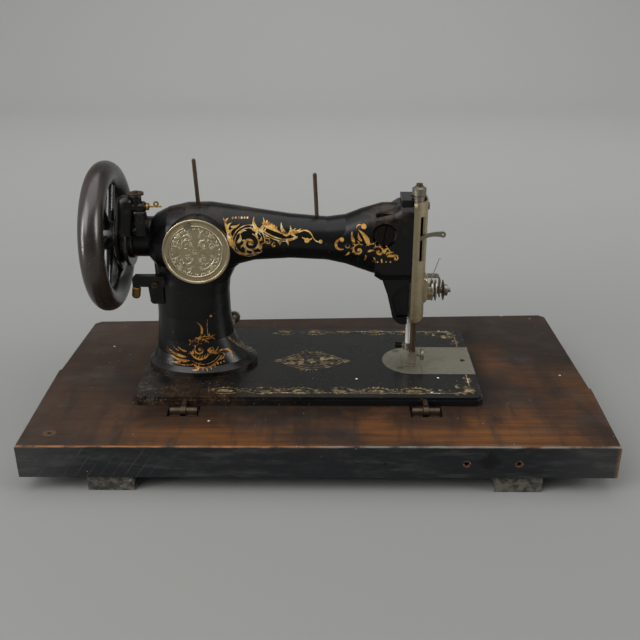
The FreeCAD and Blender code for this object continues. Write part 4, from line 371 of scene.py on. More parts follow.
class MACHINE_OT_board(bpy.types.Operator):
    """Stained planks, painted edges and old battens"""
    bl_idname = "machine.board"
    bl_label = "Base board"

    def execute(self, context):
        look = context.scene.machine_board
        wear(self.planks(look), "plank_near", "plank_far")
        wear(self.battens(look), "batten_left", "batten_right")
        return {"FINISHED"}

    def planks(self, look):
        wood = Finish("stained_planks", IOR=1.45, Specular_IOR_Level=0.22)
        x, y, z = wood.x, wood.y, wood.z
        streak = wood.noise(1, 6, stretch=(7, 150, 110), rough=0.62)
        fine = wood.noise(1, 3, stretch=(26, 900, 700), rough=0.6)
        cloud = wood.noise(6, 4, stretch=(1, 1.7, 1), shift=(3, 0, 0))
        broad = wood.noise(2.6, 2, shift=(0.4, 0.9, 0))
        rings = (y * 1500 + wood.noise(1, 2, stretch=(5, 30, 20)) * 30).sine()
        lines = rings.rise(0.1, 0.95) * x.rise(0.10, 0.22) * streak.rise(0.35, 0.6)
        # The strip on the hinge side is rubbed warm, the left end and far corner are darker.
        strip = (y.rise(-0.06, -0.12) * x.rise(-0.26, -0.12) * x.rise(0.29, 0.16))
        patch = x.rise(0.12, 0.2) * y.rise(0.10, 0.03)
        warmth = (strip * 0.36 + patch * 0.22 + 0.13) * cloud.rise(0.34, 0.58)
        warmth = warmth * (streak.rise(0.3, 0.62) * 0.6 + 0.4) + broad.rise(0.5, 0.75) * 0.12
        smear = wood.noise(1, 4, stretch=(60, 9, 10), shift=(1, 2, 0)).rise(0.45, 0.68)
        warmth = warmth * (1 - smear * 0.75) * (1 - lines * 0.3)
        top = wood.coats(look.stain, (warmth, look.warm),
                         (fine.rise(0.35, 0.75) * 0.35, look.stain))
        dusty = (wood.noise(22, 5, rough=0.7).rise(0.45, 0.8) * 0.5
                 + x.rise(-0.12, -0.28) * 0.25 + y.rise(0.02, 0.12) * 0.2)
        top = wood.blend(dusty * fine.rise(0.2, 0.6), top, look.dust)
        # Painted shade, mixed with grime, darkens the board round the iron bed and round the
        # hinges; a dark stain is laid in the same coat.
        out = ((abs(x) - BED_HIGH.x) | (abs(y) - BED_HIGH.y * 1.02))
        grime = out.rise(0.03, 0.0) * wood.noise(26, 4).rise(0.25, 0.6)
        for hinge_x, hinge_y in HINGES:
            near = (abs(x - hinge_x) - 0.03 | abs(y - hinge_y) - 0.016).rise(0.02, 0.0)
            grime = grime | (near * 0.8)
        stain = wood.disc(x, y, DARK_STAIN, 0.022, 2.2)
        top = wood.blend((grime | stain) * 0.8, top, tone("191411"))
        # Edges are painted black, with saw marks at the left and scuffs.
        side = 1 - wood.facing[2].rise(0.35, 0.8)
        scuff = wood.noise(14, 6, stretch=(1, 1, 2.4), rough=0.72).rise(0.5, 0.8)
        saw = ((x + z * -0.72) * 520).sine().rise(0.9, 1.0) * x.rise(-0.1, -0.2)
        saw = saw * wood.noise(30, 3, shift=(5, 5, 5)).rise(0.42, 0.7)
        rubs = wood.noise(1, 5, stretch=(22, 90, 120), rough=0.7).rise(0.48, 0.72)
        pale_end = x.rise(0.20, 0.29) | x.rise(-0.215, -0.29)
        first, second = (wood.disc(x, z, place, 0.0046) * wood.noise(520, 3).rise(0.4, 0.62)
                         for place in EDGE_HOLES)
        near = y.rise(-0.15, -0.156)
        diamond = (abs(x - 0.168) + abs(z - 0.037)).rise(0.016, 0.006)
        # The nail hole is a dark spot of painted shade.
        nail_hole_shade = wood.disc(x, z, NAIL_HOLE, 0.0016)
        edge = wood.coats(look.paint, (scuff * 0.5 | rubs * 0.4, "484846"),
                          (saw * 0.22, "6A6966"),
                          (pale_end * (scuff * 0.4 + 0.25), "575654"),
                          ((first | second) * near * 0.9, "7A5A40"),
                          ((diamond * 0.75 | nail_hole_shade) * near, "0B0B0B"))
        # Bare wood along the arris on the hinge side and at the right corner.
        ragged = wood.noise(1, 4, stretch=(60, 300, 300), shift=(2, 1, 7))
        line = y + x * -0.0042 - (BOARD_LOW.y + 0.0013)
        from_edge = (abs(line) | abs(z - BOARD_HIGH.z)) - ragged * look.arris * 1.4
        bare = from_edge.rise(look.arris, look.arris * 0.25)
        bare = bare * wood.noise(1, 4, stretch=(40, 18, 18)).rise(0.34, 0.56) * 0.85
        pale = wood.blend(x.rise(-0.04, 0.06), look.bare, tone("6F6C66"))
        corner = (x.rise(0.288, 0.2945) * (ragged.rise(0.3, 0.8) * 0.4 + 0.35)
                  * (abs(y - BOARD_LOW.y - 0.002)).rise(0.006, 0.001))
        far_arris = (abs(z - BOARD_HIGH.z).rise(0.0016, 0.0004)
                     * ragged.rise(0.5, 0.7) * side * 0.45)
        ring, heart = (wood.disc(x, y, KNOT, size, 1.5) * (1 - side) * share
                       for size, share in ((0.008, 0.16), (0.003, 0.9)))
        drops = wood.specks(58, 0.10, 0.055, shift=(0.3, 0.2, 0.4))
        flecks = wood.specks(210, 0.16, 0.04)
        body = wood.coats(top, (side, edge), (bare, pale), (corner | far_arris, "A4764A"),
                          (ring, "86714F"), (heart, "1E130B"), (drops * 0.85, "B9B6AE"),
                          (flecks * 0.6, "9A968E"))
        rough = 0.46 + fine * 0.12 + dusty * 0.2 + side * 0.1
        relief = streak * 0.6 + fine * 0.35 + lines * -0.8 + scuff * side * 0.5
        return wood.feed(Base_Color=body, Roughness=rough,
                         Normal=wood.bump(relief, 0.00028))

    def battens(self, look):
        wood = Finish("old_battens", IOR=1.45)
        streak = wood.noise(1, 6, stretch=(150, 8, 150), rough=0.65)
        scale = wood.noise(60, 5, rough=0.75)
        cracks = wood.noise(1, 3, stretch=(60, 6, 420)).rise(0.62, 0.7)
        body = wood.coats(tone("2C2A26"), (streak.rise(0.4, 0.58), look.batten),
                          (scale.rise(0.55, 0.75) * 0.5, "716D64"),
                          (wood.specks(130, 0.2, 0.12) * 0.7, "A39F95"),
                          (cracks * 0.8, "171512"))
        return wood.feed(Base_Color=body, Roughness=0.5 + scale * 0.4,
                         Normal=wood.bump(streak + scale * 0.6 - cracks, 0.0004))


# Castings ---------------------------------------------------------------------------------

WHITE_SPOTS = (0.1201, -0.0663), (0.1305, -0.0337), (0.0417, -0.0364)
OIL_HOLE = (0.031, 0.2078)    # X and Z
WHEEL_AXIS = (0.0089, 0.2105)    # Y and Z


class MACHINE_OT_castings(bpy.types.Operator):
    """Black japan enamel on the bed, arm, wheel and brackets"""
    bl_idname = "machine.castings"
    bl_label = "Castings"

    def execute(self, context):
        look = context.scene.machine_enamel
        wear(self.bed(look), "bed")
        wear(self.arm(look), "arm")
        wear(self.small(look), "side_bracket", "winder_bracket", "winder_frame")
        wear(self.wheel(look), "handwheel")
        return {"FINISHED"}

    def enamel(self, name, mirror=0.28):
        japan = Finish(name, IOR=1.5, Specular_IOR_Level=mirror)
        japan.ripple = japan.noise(90, 3, rough=0.5)
        japan.haze = japan.noise(9, 5, rough=0.65)
        japan.grit = japan.specks(330, 0.22, 0.10) | (japan.specks(120, 0.13, 0.10))
        return japan

    def finished(self, japan, look, body, worn, extra=0.0):
        rough = (look.gloss + japan.haze * 0.16 + japan.grit * 0.3 + worn * 0.12 + extra)
        relief = japan.ripple * 0.7 + japan.grit * 0.5 - worn * 0.4
        return japan.feed(Base_Color=body, Roughness=rough,
                          Normal=japan.bump(relief, 0.00006))

    def bed(self, look):
        japan = self.enamel("japan_bed", 0.4)
        x, y = japan.x, japan.y
        # Rubbed brown towards the pillar's corner and along the hinge side.
        towards = (x + y * 1.3).rise(-0.06, -0.2)
        rubbed = towards * japan.noise(30, 6, rough=0.75).rise(0.4, 0.62)
        grain = japan.noise(150, 5, rough=0.8).rise(0.45, 0.7)
        worn = rubbed * (grain * 0.6 + 0.4)
        rusty = y.rise(-0.045, -0.075) * x.rise(-0.05, -0.11) * grain
        chips = japan.specks(420, 0.26, 0.2, shift=(7, 2, 0)) * towards
        rim = abs(x) - (BED_HIGH.x - 0.0012) | abs(y) - (BED_HIGH.y - 0.0012)
        chipped = rim.rise(-0.0012, 0.0) * japan.noise(70, 4).rise(0.5, 0.62)
        body = japan.coats(
            look.black, (japan.haze.rise(0.3, 0.8) * 0.5, "1B1C1C"),
            (worn * 0.75, look.brown), (rusty * 0.6, "553820"), (chips * 0.6, "9A9488"),
            *((japan.disc(x, y, spot, 0.0014), "E6E2D8") for spot in WHITE_SPOTS),
            (chipped * 0.6, "4A4038"), (japan.grit * 0.55, look.dust))
        return self.finished(japan, look, body, worn, towards * 0.06)

    def arm(self, look):
        japan = self.enamel("japan_arm")
        x, z = japan.x, japan.z
        crown = z.rise(0.232, 0.25) * x.rise(0.03, -0.04)
        crown = crown | (z.rise(0.214, 0.232) * x.rise(0.03, 0.06) * x.rise(0.11, 0.07))
        patch = japan.noise(38, 6, rough=0.72).rise(0.46, 0.60)
        worn = crown * patch
        flange = z.rise(0.075, 0.0645) * japan.noise(50, 5, rough=0.7).rise(0.4, 0.6)
        # The oil hole is painted: a pale crescent low on its rim is painted light, and its
        # black inside is painted shade.
        facing = japan.facing[1].rise(-0.2, -0.6)
        painted_lit_lip, painted_shade_in_hole = (japan.disc(x, z, (OIL_HOLE[0], OIL_HOLE[1] - drop), size) * facing
                     for drop, size in ((0.0007, 0.0028), (0, 0.0022)))
        body = japan.coats(
            look.black, (japan.haze.rise(0.35, 0.85) * 0.4, "191A1B"),
            (worn * 0.85, look.brown), (flange * 0.22, "4B4035"),
            (japan.grit * (z.rise(0.24, 0.2) * 0.25 + 0.2), look.dust),
            (painted_lit_lip, "8F7B4C"), (painted_shade_in_hole, "040404"))
        return self.finished(japan, look, body, worn)

    def small(self, look):
        japan = self.enamel("japan_small")
        grime = japan.noise(120, 5, rough=0.75)
        worn = grime.rise(0.5, 0.68)
        body = japan.blend(worn * 0.7, look.black, tone("332A22"))
        return self.finished(japan, look, body, worn, 0.02)

    def wheel(self, look):
        japan = self.enamel("japan_wheel", 0.75)
        y, z = japan.y - WHEEL_AXIS[0], japan.z - WHEEL_AXIS[1]
        reach = (y * y + z * z).maths("SQRT", y * y + z * z)
        handled = reach.rise(0.062, 0.069)
        rubbed = japan.noise(24, 6, rough=0.7)
        worn = handled * (rubbed.rise(0.25, 0.6) * 0.75 + 0.25)
        metal = handled * japan.noise(33, 5, shift=(4, 4, 4), rough=0.7).rise(0.6, 0.72)
        body = japan.coats(look.black, (japan.haze.rise(0.3, 0.8), "201C18"),
                           (worn * 0.85, "2A211A"), (metal * 0.45, "4A3F33"),
                           (japan.grit * 0.35, look.dust))
        return self.finished(japan, look, body, worn * 0.3, -0.04)


# Metal fittings ---------------------------------------------------------------------------

class MACHINE_OT_fittings(bpy.types.Operator):
    """Plated, polished and browned metal pieces"""
    bl_idname = "machine.fittings"
    bl_label = "Metal fittings"

    def execute(self, context):
        look = context.scene.machine_metal
        champagne = self.plated("yellowed_nickel", look.champagne, "6A5A3A", 0.34, 45)
        wear(champagne, "rear_cover_plate", "face_plate")
        nickel = self.plated("worn_nickel", look.nickel, "6E685C", 0.42, 70)
        wear(nickel, "needle_plate", "slide_plate", "presser_foot")
        dull = self.plated("dull_steel", tone("8E8778"), "3D352B", 0.38, 120)
        wear(dull, "presser_foot_screw", "needle_clamp", "tension_nut",
             "thread_guard", "take_up_lever", "tension_stud", "tension_spring",
             "stop_motion_knob", "cover_screw", "stitch_regulator", "feed_dog",
             "presser_regulator", "needle_plate_screws", "shuttle_race", "bobbin_case",
             "bobbin", "hook_shaft", "feed_rock_shaft", "feed_lift_shaft", "arm_shaft",
             "needle_bar_bushing")
        bright = self.plated("polished_steel", look.bright, "A39A8A", 0.3, 200)
        wear(bright, "needle", "tension_discs", "check_spring", "shuttle_hook")
        # Painted sheen: the needle bar has a pale steel colour and little metal, so its own
        # colour shows bright in place of a polished reflection; the streaks along it are
        # rubbing.
        rubbed = Finish("rubbed_steel_painted_sheen", IOR=1.6)
        streaks = rubbed.noise(300, 4, stretch=(1, 1, 0.05))
        body = rubbed.blend(streaks.rise(0.4, 0.7) * 0.5, look.bright, tone("9A9080"))
        wear(rubbed.feed(Base_Color=body, Metallic=0.3, Roughness=0.28), "needle_bar")
        brown = self.plated("browned_steel", look.brown, "241C15", 0.45, 160)
        wear(brown, "presser_bar", "hinge_knuckles", "hinge_leaves", "hinge_pins",
             "hinge_screws", "batten_screws", "spool_pins", "arm_bolts",
             "side_bracket_screw", "winder_pivot", "winder_tension", "shaft_bushings",
             "tension_washer", "feed_bar")
        black = self.plated("blackened_steel", tone("2A2622"), "120F0D", 0.4, 160)
        wear(black, "take_up_stud", "face_plate_screw", "needle_clamp_screw")
        brass = self.plated("dull_brass", look.brass, "4A3820", 0.36, 110)
        wear(brass, "side_bracket_peg", "winder_spindle")
        return {"FINISHED"}

    def plated(self, name, clean, tarnished, rough, scale):
        """Metal with tarnish in blotches, fine scratches and a few pits."""
        metal = Finish(name, Metallic=1.0)
        blotch = metal.noise(scale, 6, rough=0.7)
        broad = metal.noise(scale * 0.3, 3, shift=(2, 5, 1))
        hairs = metal.noise(1, 2, stretch=(180, 700, 1800), rough=0.7)
        pits = metal.specks(420, 0.24, 0.10, shift=(1, 1, 1))
        tarnish = (blotch.rise(0.42, 0.72) * 0.75) | (broad.rise(0.5, 0.75) * 0.5)
        body = metal.coats(clean, (tarnish, tarnished), (pits * 0.6, "2C241C"))
        return metal.feed(
            Base_Color=body, Metallic=1 - tarnish * 0.25 - pits * 0.5,
            Roughness=rough + tarnish * 0.18 + hairs * 0.1,
            Normal=metal.bump(hairs * 0.4 + blotch * 0.3 - pits, 0.00004))


# Ornament ---------------------------------------------------------------------------------

def turned(angle):
    return Vector((math.cos(angle), math.sin(angle)))


def bow(start, end, bend):
    """A curved path from start to end; bend is its height against its length."""
    start, end = Vector(start), Vector(end)
    along = end - start
    middle = (start + end) / 2 + Vector((-along.y, along.x)) * bend * 2

    def path(t):
        point = start * (1 - t) ** 2 + middle * 2 * t * (1 - t) + end * t ** 2
        slope = (middle - start) * (1 - t) + (end - middle) * t
        return point, Vector((-slope.y, slope.x)).normalized()
    return path


def coil(centre, start, turns, outer, inner):
    """A spiral path wound in to its centre; turns below 0 wind the other way."""
    def path(t):
        angle = start + turns * math.tau * t
        reach = outer + (inner - outer) * (1 - (1 - t) ** 1.25)
        return Vector(centre) + turned(angle) * reach, turned(angle)
    return path


def tapering(width, first=0.2, last=0.25):
    """Half width along a stroke: it swells in the middle and thins at both ends."""
    return lambda t: width * max(
        math.sin(math.pi * min(max(t, 0.0), 1.0)) ** 0.7, first * (1 - t) + last * t)


def leaf_shape(width):
    return lambda t: width * math.sin(math.pi * min(max(t, 0), 1) ** 0.62) * (1 - 0.15 * t)


def even(width):
    return lambda t: width


STROKE_LEVELS = 14
STROKE_RISE = 0.007
SLENDER = 0.22


class Ornament:
    """Ornament drawn flat in millimetres, as strips three vertices wide."""

    def __init__(self, weight, crown=0.0):
        self.work = bmesh.new()
        self.weight = weight
        self.crown = crown
        self.count = 0

    def level(self):
        """Each stroke lies a hair above the one before, so that crossings stay clean."""
        self.count += 1
        return (self.count % STROKE_LEVELS) * STROKE_RISE

    def stroke(self, path, width, steps=14):
        level = self.level()
        grid = bmesh.ops.create_grid(self.work, x_segments=steps, y_segments=2, size=0.5)
        for vert in grid["verts"]:
            t, side = vert.co.x + 0.5, vert.co.y * 2
            point, across = path(t)
            flat = point + across * (side * width(t) * self.weight)
            rise = self.crown * (1 - abs(side)) * min(1.0, 4 * t, 4 * (1 - t))
            vert.co = (flat.x, flat.y, level + rise)

    def leaf(self, root, angle, size, width, bend=0.18):
        root = Vector(root)
        self.stroke(bow(root, root + turned(angle) * size, bend), leaf_shape(width), 8)

    def leaves(self, *rows):
        for row in rows:
            self.leaf(*row)

    def fan(self, root, rows, bend=0.18):
        """Slender leaves from one root, each given by its angle and size."""
        for angle, size in rows:
            self.leaf(root, angle, size, size * SLENDER, bend)

    def fringe(self, path, count, size, side=1, first=0.08, last=0.92, tilt=0.8):
        """Leaves that grow from one side of a path and lean along it."""
        for index in range(count):
            t = first + (last - first) * index / max(count - 1, 1)
            root, across = path(t)
            ahead = (path(t + 0.01)[0] - path(t - 0.01)[0]).normalized()
            grow = across * side + ahead * tilt
            swell = 0.65 + 0.35 * math.sin(math.pi * (index + 0.5) / count)
            self.leaf(root, math.atan2(grow.y, grow.x), size * swell, size * swell * 0.24,
                      side * -0.2)

    def beads(self, start, end, count, size):
        for index in range(count):
            share = index / max(count - 1, 1)
            self.dot(Vector(start).lerp(Vector(end), share), size)

    def dot(self, centre, size):
        level = self.level()
        disc = bmesh.ops.create_circle(self.work, cap_ends=True, cap_tris=True,
                                       segments=10, radius=size)
        for vert in disc["verts"]:
            middle = vert.co.length < size * 0.5
            vert.co = (vert.co.x + centre[0], vert.co.y + centre[1],
                       level + (self.crown if middle else 0))

    def scroll(self, centre, start, turns, size, width, leaves=5, reach=1.0):
        """A spiral that ends in an eye, with leaves fanning from its back."""
        path = coil(centre, start, turns, size, size * 0.2)
        self.stroke(path, tapering(width, 0.5, 0.5), 26)
        self.dot(centre, size * 0.2)
        hand = 1 if turns > 0 else -1
        for index in range(leaves):
            t = 0.06 + 0.42 * index / max(leaves - 1, 1)
            root, outward = path(t)
            angle = math.atan2(outward.y, outward.x) + hand * 0.75
            length = size * reach * (0.62 - 0.06 * index)
            self.leaf(root, angle, length, length * 0.2, hand * -0.16)

    def rosette(self, centre, size, petals):
        for index in range(petals):
            angle = math.tau * index / petals
            root = Vector(centre) + turned(angle) * size * 0.25
            self.leaf(root, angle, size * 0.75, size * 0.24, 0.0)
        self.dot(centre, size * 0.2)

    def mirrored(self, across, at):
        """Add the reflection of all that is drawn so far; across is 0 for X, 1 for Y."""
        copy = bmesh.ops.duplicate(self.work, geom=self.work.faces[:])
        for vert in only(bmesh.types.BMVert, copy["geom"]):
            vert.co[across] = 2 * at - vert.co[across]
        bmesh.ops.reverse_faces(self.work, faces=only(bmesh.types.BMFace, copy["geom"]))

    def laid(self, place):
        """Move every vertex to its place on the machine; place takes u, v and height."""
        lost = []
        for vert in self.work.verts:
            spot = place(vert.co.x * MM, vert.co.y * MM, vert.co.z * MM)
            if spot is None:
                lost.append(vert)
            else:
                vert.co = spot
        bmesh.ops.delete(self.work, geom=lost, context="VERTS")
        for face in self.work.faces:
            face.smooth = True
        return self.work


def draped(towards, lift):
    """Place flat drawings on the arm, seen along a direction from outside it."""
    tree = BVHTree.FromObject(PART["arm"], bpy.context.evaluated_depsgraph_get())
    towards = Vector(towards)

    def settle(spot, height):
        point, normal = tree.ray_cast(spot - towards * 0.4, towards)[:2]
        if point is None:
            return None
        if normal.dot(towards) > 0:
            normal = -normal
        return point + normal * (lift + height)
    return settle


def gold_leaf(name, gold, shade, pale, lost):
    """Transfer gold: pale and shaded in blotches, hatched, and rubbed through to black."""
    leaf = Finish(name, IOR=1.5, Specular_IOR_Level=0.3)
    cloud = leaf.noise(130, 4, rough=0.6)
    glint = leaf.noise(170, 3, shift=(6, 2, 5))
    hatch = leaf.noise(1, 2, stretch=(1500, 900, 900), rough=0.5)
    rubbed = (leaf.noise(70, 6, rough=0.75, shift=(3, 3, 3)).rise(
        0.62 - lost * 0.3, 0.70 - lost * 0.3) * 0.92)
    body = leaf.coats(shade, (cloud.rise(0.36, 0.56), gold),
                      (glint.rise(0.5, 0.62) * 0.75, pale),
                      (hatch.rise(0.55, 0.62) * 0.4, [c * 0.35 for c in shade]),
                      (rubbed, "131211"))
    return leaf.feed(Base_Color=body, Roughness=0.42 - rubbed * 0.1,
                     Metallic=(1 - rubbed) * 0.2)


def gild(name, draw, weight, place, finish):
    """Lay one drawing on the machine as gold that moves with the bed and arm."""
    art = Ornament(weight)
    draw(art)
    made = piece(name, art.laid(place), finish)
    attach(made, "head")


class MACHINE_OT_bed_ornament(bpy.types.Operator):
    """Faded gold medallion, borders, corners and line on the bed"""
    bl_idname = "machine.bed_ornament"
    bl_label = "Bed ornament"

    def execute(self, context):
        look = context.scene.machine_ornament
        faded = gold_leaf("faded_gold", look.faded, tone("4A3826"), tone("A3936F"), 0.42)
        top = BED_HIGH.z

        def flat(u, v, height):
            return Vector((u, v, top + look.lift + height))
        line = gold_leaf("line_gold", look.faded, look.faded, look.cream, 0.1)
        gild("bed_medallion", self.medallion, 0.8, flat, faded)
        gild("bed_near_border", lambda art: self.vine(art, -118, 122, -65, 40, 9.5),
             0.9, flat, faded)
        gild("bed_far_border", lambda art: self.vine(art, -60, 120, 84, 36, 8, -1),
             0.8, flat, faded)
        gild("bed_corners", self.corners, 1.2, flat, faded)
        gild("bed_gold_line", lambda art: self.gold_line(art, look.line / MM / 2), 1.0,
             flat, line)
        return {"FINISHED"}

    def medallion(self, art):
        """A long pointed lozenge of doubled bows round a rosette."""
        middle = (-8, 6.5)
        art.scroll((15, 10.5), 2.8, -1.0, 4.6, 0.9, 3)
        art.leaf((0, 8), 0.22, 26, 4.0, 0.05)
        art.leaf((1, 12), 0.9, 11, 2.0, -0.1)
        for half, high, wide in ((37, 22, 0.9), (32, 17.5, 0.7), (24, 11.5, 0.7)):
            art.stroke(bow((-8, 6.5 + high), (-8 + half, 6.5), 0.1), even(wide), 20)
        for index in range(3):
            art.leaf((-7 + index * 4, 28 - index), 1.4 - index * 0.3, 8 - index, 1.5)
        art.fan((27, 6.5), ((0.0, 9), (0.8, 6), (1.5, 4)))
        art.mirrored(0, middle[0])
        art.mirrored(1, middle[1])
        art.rosette(middle, 7.5, 8)
        for side in (-1, 1):
            art.dot((-8 + side * 39.5, 6.5), 1.3)

    def vine(self, art, start, end, level, pitch, size, hand=1):
        """A border of long leafy cartouches, each with a full leaf in its middle."""
        count = round((end - start) / pitch)
        for index in range(count):
            x = start + pitch * (index + 0.5)
            near, far = x - pitch * 0.46, x + pitch * 0.46
            over = bow((near, level), (far, level), hand * 0.2)
            under = bow((near, level), (far, level), hand * -0.16)
            art.stroke(over, tapering(1.0, 0.6, 0.6), 20)
            art.stroke(under, tapering(0.8, 0.6, 0.6), 20)
            art.fringe(over, 7, size * 0.5, hand, 0.12, 0.88, 0.8)
            art.leaf((x - pitch * 0.24, level), 0.0, pitch * 0.5, size * 0.36, 0.06)
            art.leaf((x + pitch * 0.2, level), math.pi, pitch * 0.3, size * 0.26, 0.1)
            for side in (-1, 1):
                art.scroll((x + side * pitch * 0.36, level + hand * size * 0.3),
                           1.57 - side * 0.6, side * -1.0, size * 0.44, 0.6, 3)
            art.dot((x + pitch * 0.5, level), 1.2)

    def corners(self, art):
        for x, y, up in ((151, -56, 1), (150, 73, -1)):
            art.scroll((x, y), up * -2.4, up * 1.0, 12.5, 1.9, 6)
            art.scroll((x - 19, y - up * 6), up * 0.9, up * -0.95, 7.5, 1.2, 5)
            art.scroll((x + 9, y + up * 15), up * 2.2, up * -0.85, 6.5, 1.1, 4)
            for index in range(5):
                art.leaf((x + 3, y - up * 3), up * (-0.9 + 0.42 * index), 16 - index * 1.4,
                         2.3, up * 0.16)

    def gold_line(self, art, wide):
        """One gold line inside the bed's edge, round its corners."""
        inset, turn = 11.5, 9
        half_x = BED_HIGH.x / MM - inset
        near, far = BED_LOW.y / MM + inset, BED_HIGH.y / MM - inset
        art.stroke(bow((-60, near), (half_x - turn, near), 0), even(wide), 60)
        art.stroke(bow((20, far), (half_x - turn, far), 0), even(wide), 40)
        plate_near, plate_far = (corner.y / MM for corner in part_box("slide_plate"))
        for start, end in ((near + turn, plate_near - 1), (plate_far + 1, far - turn)):
            art.stroke(bow((half_x, start), (half_x, end), 0), even(wide), 20)
        for level, start in ((near + turn, -90), (far - turn, 0)):
            art.stroke(coil((half_x - turn, level), math.radians(start), 0.25, turn, turn),
                       even(wide), 8)


class MACHINE_OT_arm_ornament(bpy.types.Operator):
    """Gold scrollwork on the arm and pillar"""
    bl_idname = "machine.arm_ornament"
    bl_label = "Arm and pillar ornament"

    def execute(self, context):
        look = context.scene.machine_ornament
        gold = gold_leaf("arm_gold", look.gold, look.shade, look.cream, 0.16)
        amber = gold_leaf("head_gold", look.gold, look.shade, look.orange, 0.14)
        deep = gold_leaf("pillar_gold", look.orange, look.shade, look.shade, 0.36)
        dim = gold_leaf("flank_gold", look.faded, look.shade, look.faded, 0.5)
        ahead = draped((0, 1, 0), look.lift)
        flank = draped((-1, 0, 0), look.lift)

        def front(u, v, height):
            return ahead(Vector((u, 0, v)), height)

        def side(u, v, height):
            return flank(Vector((0, u, v)), height)
        gild("arm_scrolls", self.arm_scrolls, 0.74, front, gold)
        gild("head_scrolls", self.head_scrolls, 0.72, front, amber)
        gild("pillar_scrolls", self.pillar_scrolls, 0.46, front, deep)
        gild("flank_scrolls", self.flank_scrolls, 0.5, side, dim)
        return {"FINISHED"}

    def arm_scrolls(self, art):
        """A ringed scroll beside the cover that runs out along the arm in a leafy tail."""
        art.stroke(coil((-71.5, 213), -1.0, -0.86, 17.6, 16.6), even(0.6), 40)
        art.stroke(coil((-71.5, 213), -1.2, -0.8, 15, 13.8), even(0.5), 36)
        spiral = coil((-70.5, 211), 1.3, -1.35, 10.5, 2.4)
        art.fringe(spiral, 6, 6.5, 1, 0.12, 0.6, -0.9)
        art.stroke(spiral, tapering(1.9, 0.4, 0.5), 34)
        art.dot((-70.2, 211.2), 2.1)
        feather = bow((-87, 205), (-98, 238), -0.03)
        art.fringe(feather, 4, 8, -1, 0.3, 0.8, 0.7)
        art.stroke(feather, leaf_shape(3.2), 14)
        art.leaves(((-84, 212), 1.25, 11, 2.3, -0.2), ((-81, 222), 0.3, 8, 1.8, 0.2),
                   ((-90, 229), 0.25, 10, 1.8, -0.15))
        for angle, size in ((1.95, 13), (1.2, 12), (0.35, 9), (2.7, 9), (-1.5, 8)):
            art.leaf((-61.5, 224.5), angle, size, size * 0.2, 0.18 if angle > 1.5 else -0.3)
        art.leaves(((-72, 199.5), 2.8, 13, 2.7, 0.2), ((-70, 199.5), 0.3, 13, 2.7, -0.2),
                   ((-60, 203), 1.1, 10, 2.4, 0.2))
        art.beads((-88, 236.5), (-73, 236), 6, 1.0)
        for drop, wide in ((0, 0.8), (2.4, 0.6)):
            art.stroke(bow((-60, 226.5 - drop), (-41, 216 - drop), -0.05), even(wide), 14)
            art.stroke(bow((-41, 216 - drop), (-21, 217.5 - drop * 0.4), -0.1),
                       even(wide), 14)
        art.stroke(bow((-58, 231), (-36, 219.5), 0.03), leaf_shape(3.4), 14)
        art.beads((-53, 232), (-43, 226.5), 5, 1.1)
        art.leaves(((-30.5, 218), 2.1, 15, 3.0, 0.16), ((-31, 219), 1.35, 9, 2.0, -0.2))
        for angle, size in ((0.2, 13), (0.8, 8), (-0.5, 7), (1.5, 5)):
            art.leaf((-28, 219.5), angle, size, size * 0.2, 0.1)
        art.leaf((-21, 220.5), 0.85, 6, 1.3, 0.1)
        art.stroke(bow((-17, 223), (-5, 216.5), 0.2), tapering(0.9, 0.7, 0.7), 14)
        art.stroke(bow((-5, 216.5), (2.5, 211.5), -0.15), tapering(0.9, 0.7, 0.7), 10)
        art.dot((3, 212), 2.1)
        art.dot((-11.3, 213.4), 2.7)
        art.leaves(((-12.5, 215), 2.7, 5, 1.2, 0.1), ((-9.5, 214), 0.5, 5, 1.2, -0.1),
                   ((-42, 214.5), -1.2, 7, 1.5, 0.1), ((-33, 214.5), -1.3, 7.5, 1.5, 0.1),
                   ((-37, 214.5), -1.9, 5, 1.1, -0.1))
        art.scroll((-52.5, 212.5), 2.2, -0.9, 4.2, 0.9, 4)
        art.scroll((-45.5, 208.5), 1.2, 0.9, 3.0, 0.7, 3)

    def head_scrolls(self, art):
        """Spirals and tall leaves under the take-up stud."""
        art.stroke(coil((24.5, 208.5), 1.4, 0.6, 6.4, 5), tapering(1.9, 0.5, 0.3), 22)
        art.dot((25, 214), 2.4)
        art.leaf((38.5, 211), 1.8, 12, 2.4, 0.12)
        art.stroke(bow((53, 208), (41.5, 224.5), -0.12), leaf_shape(3.6), 14)
        art.leaf((46, 213), 2.0, 9, 2.1, 0.15)
        art.stroke(bow((40, 226), (46, 228.5), 0.25), tapering(0.7, 0.7), 8)
        art.dot((47.8, 227.5), 2.7)
        for centre, start, turns, size in (((42.5, 203), 1.0, 1.2, 7.2),
                                           ((63.5, 202), 2.6, -1.15, 6.2),
                                           ((81, 194.5), 2.4, -1.0, 3.8)):
            art.scroll(centre, start, turns, size, size * 0.2, 6)
        art.stroke(bow((50, 208), (77, 200), 0.22), tapering(1.2), 18)
        for root, *leaf in (((69, 199), 1.0, 9), ((71, 198), 0.35, 9),
                            ((72, 196.5), -0.15, 10), ((50, 198), -1.8, 7),
                            ((58, 195), -1.2, 6), ((66, 194), -1.5, 5),
                            ((33, 201), -2.4, 7), ((52, 201), 0.2, 8)):
            art.fan(root, [leaf], 0.15)
        art.beads((58, 190.5), (76, 190.5), 5, 0.9)

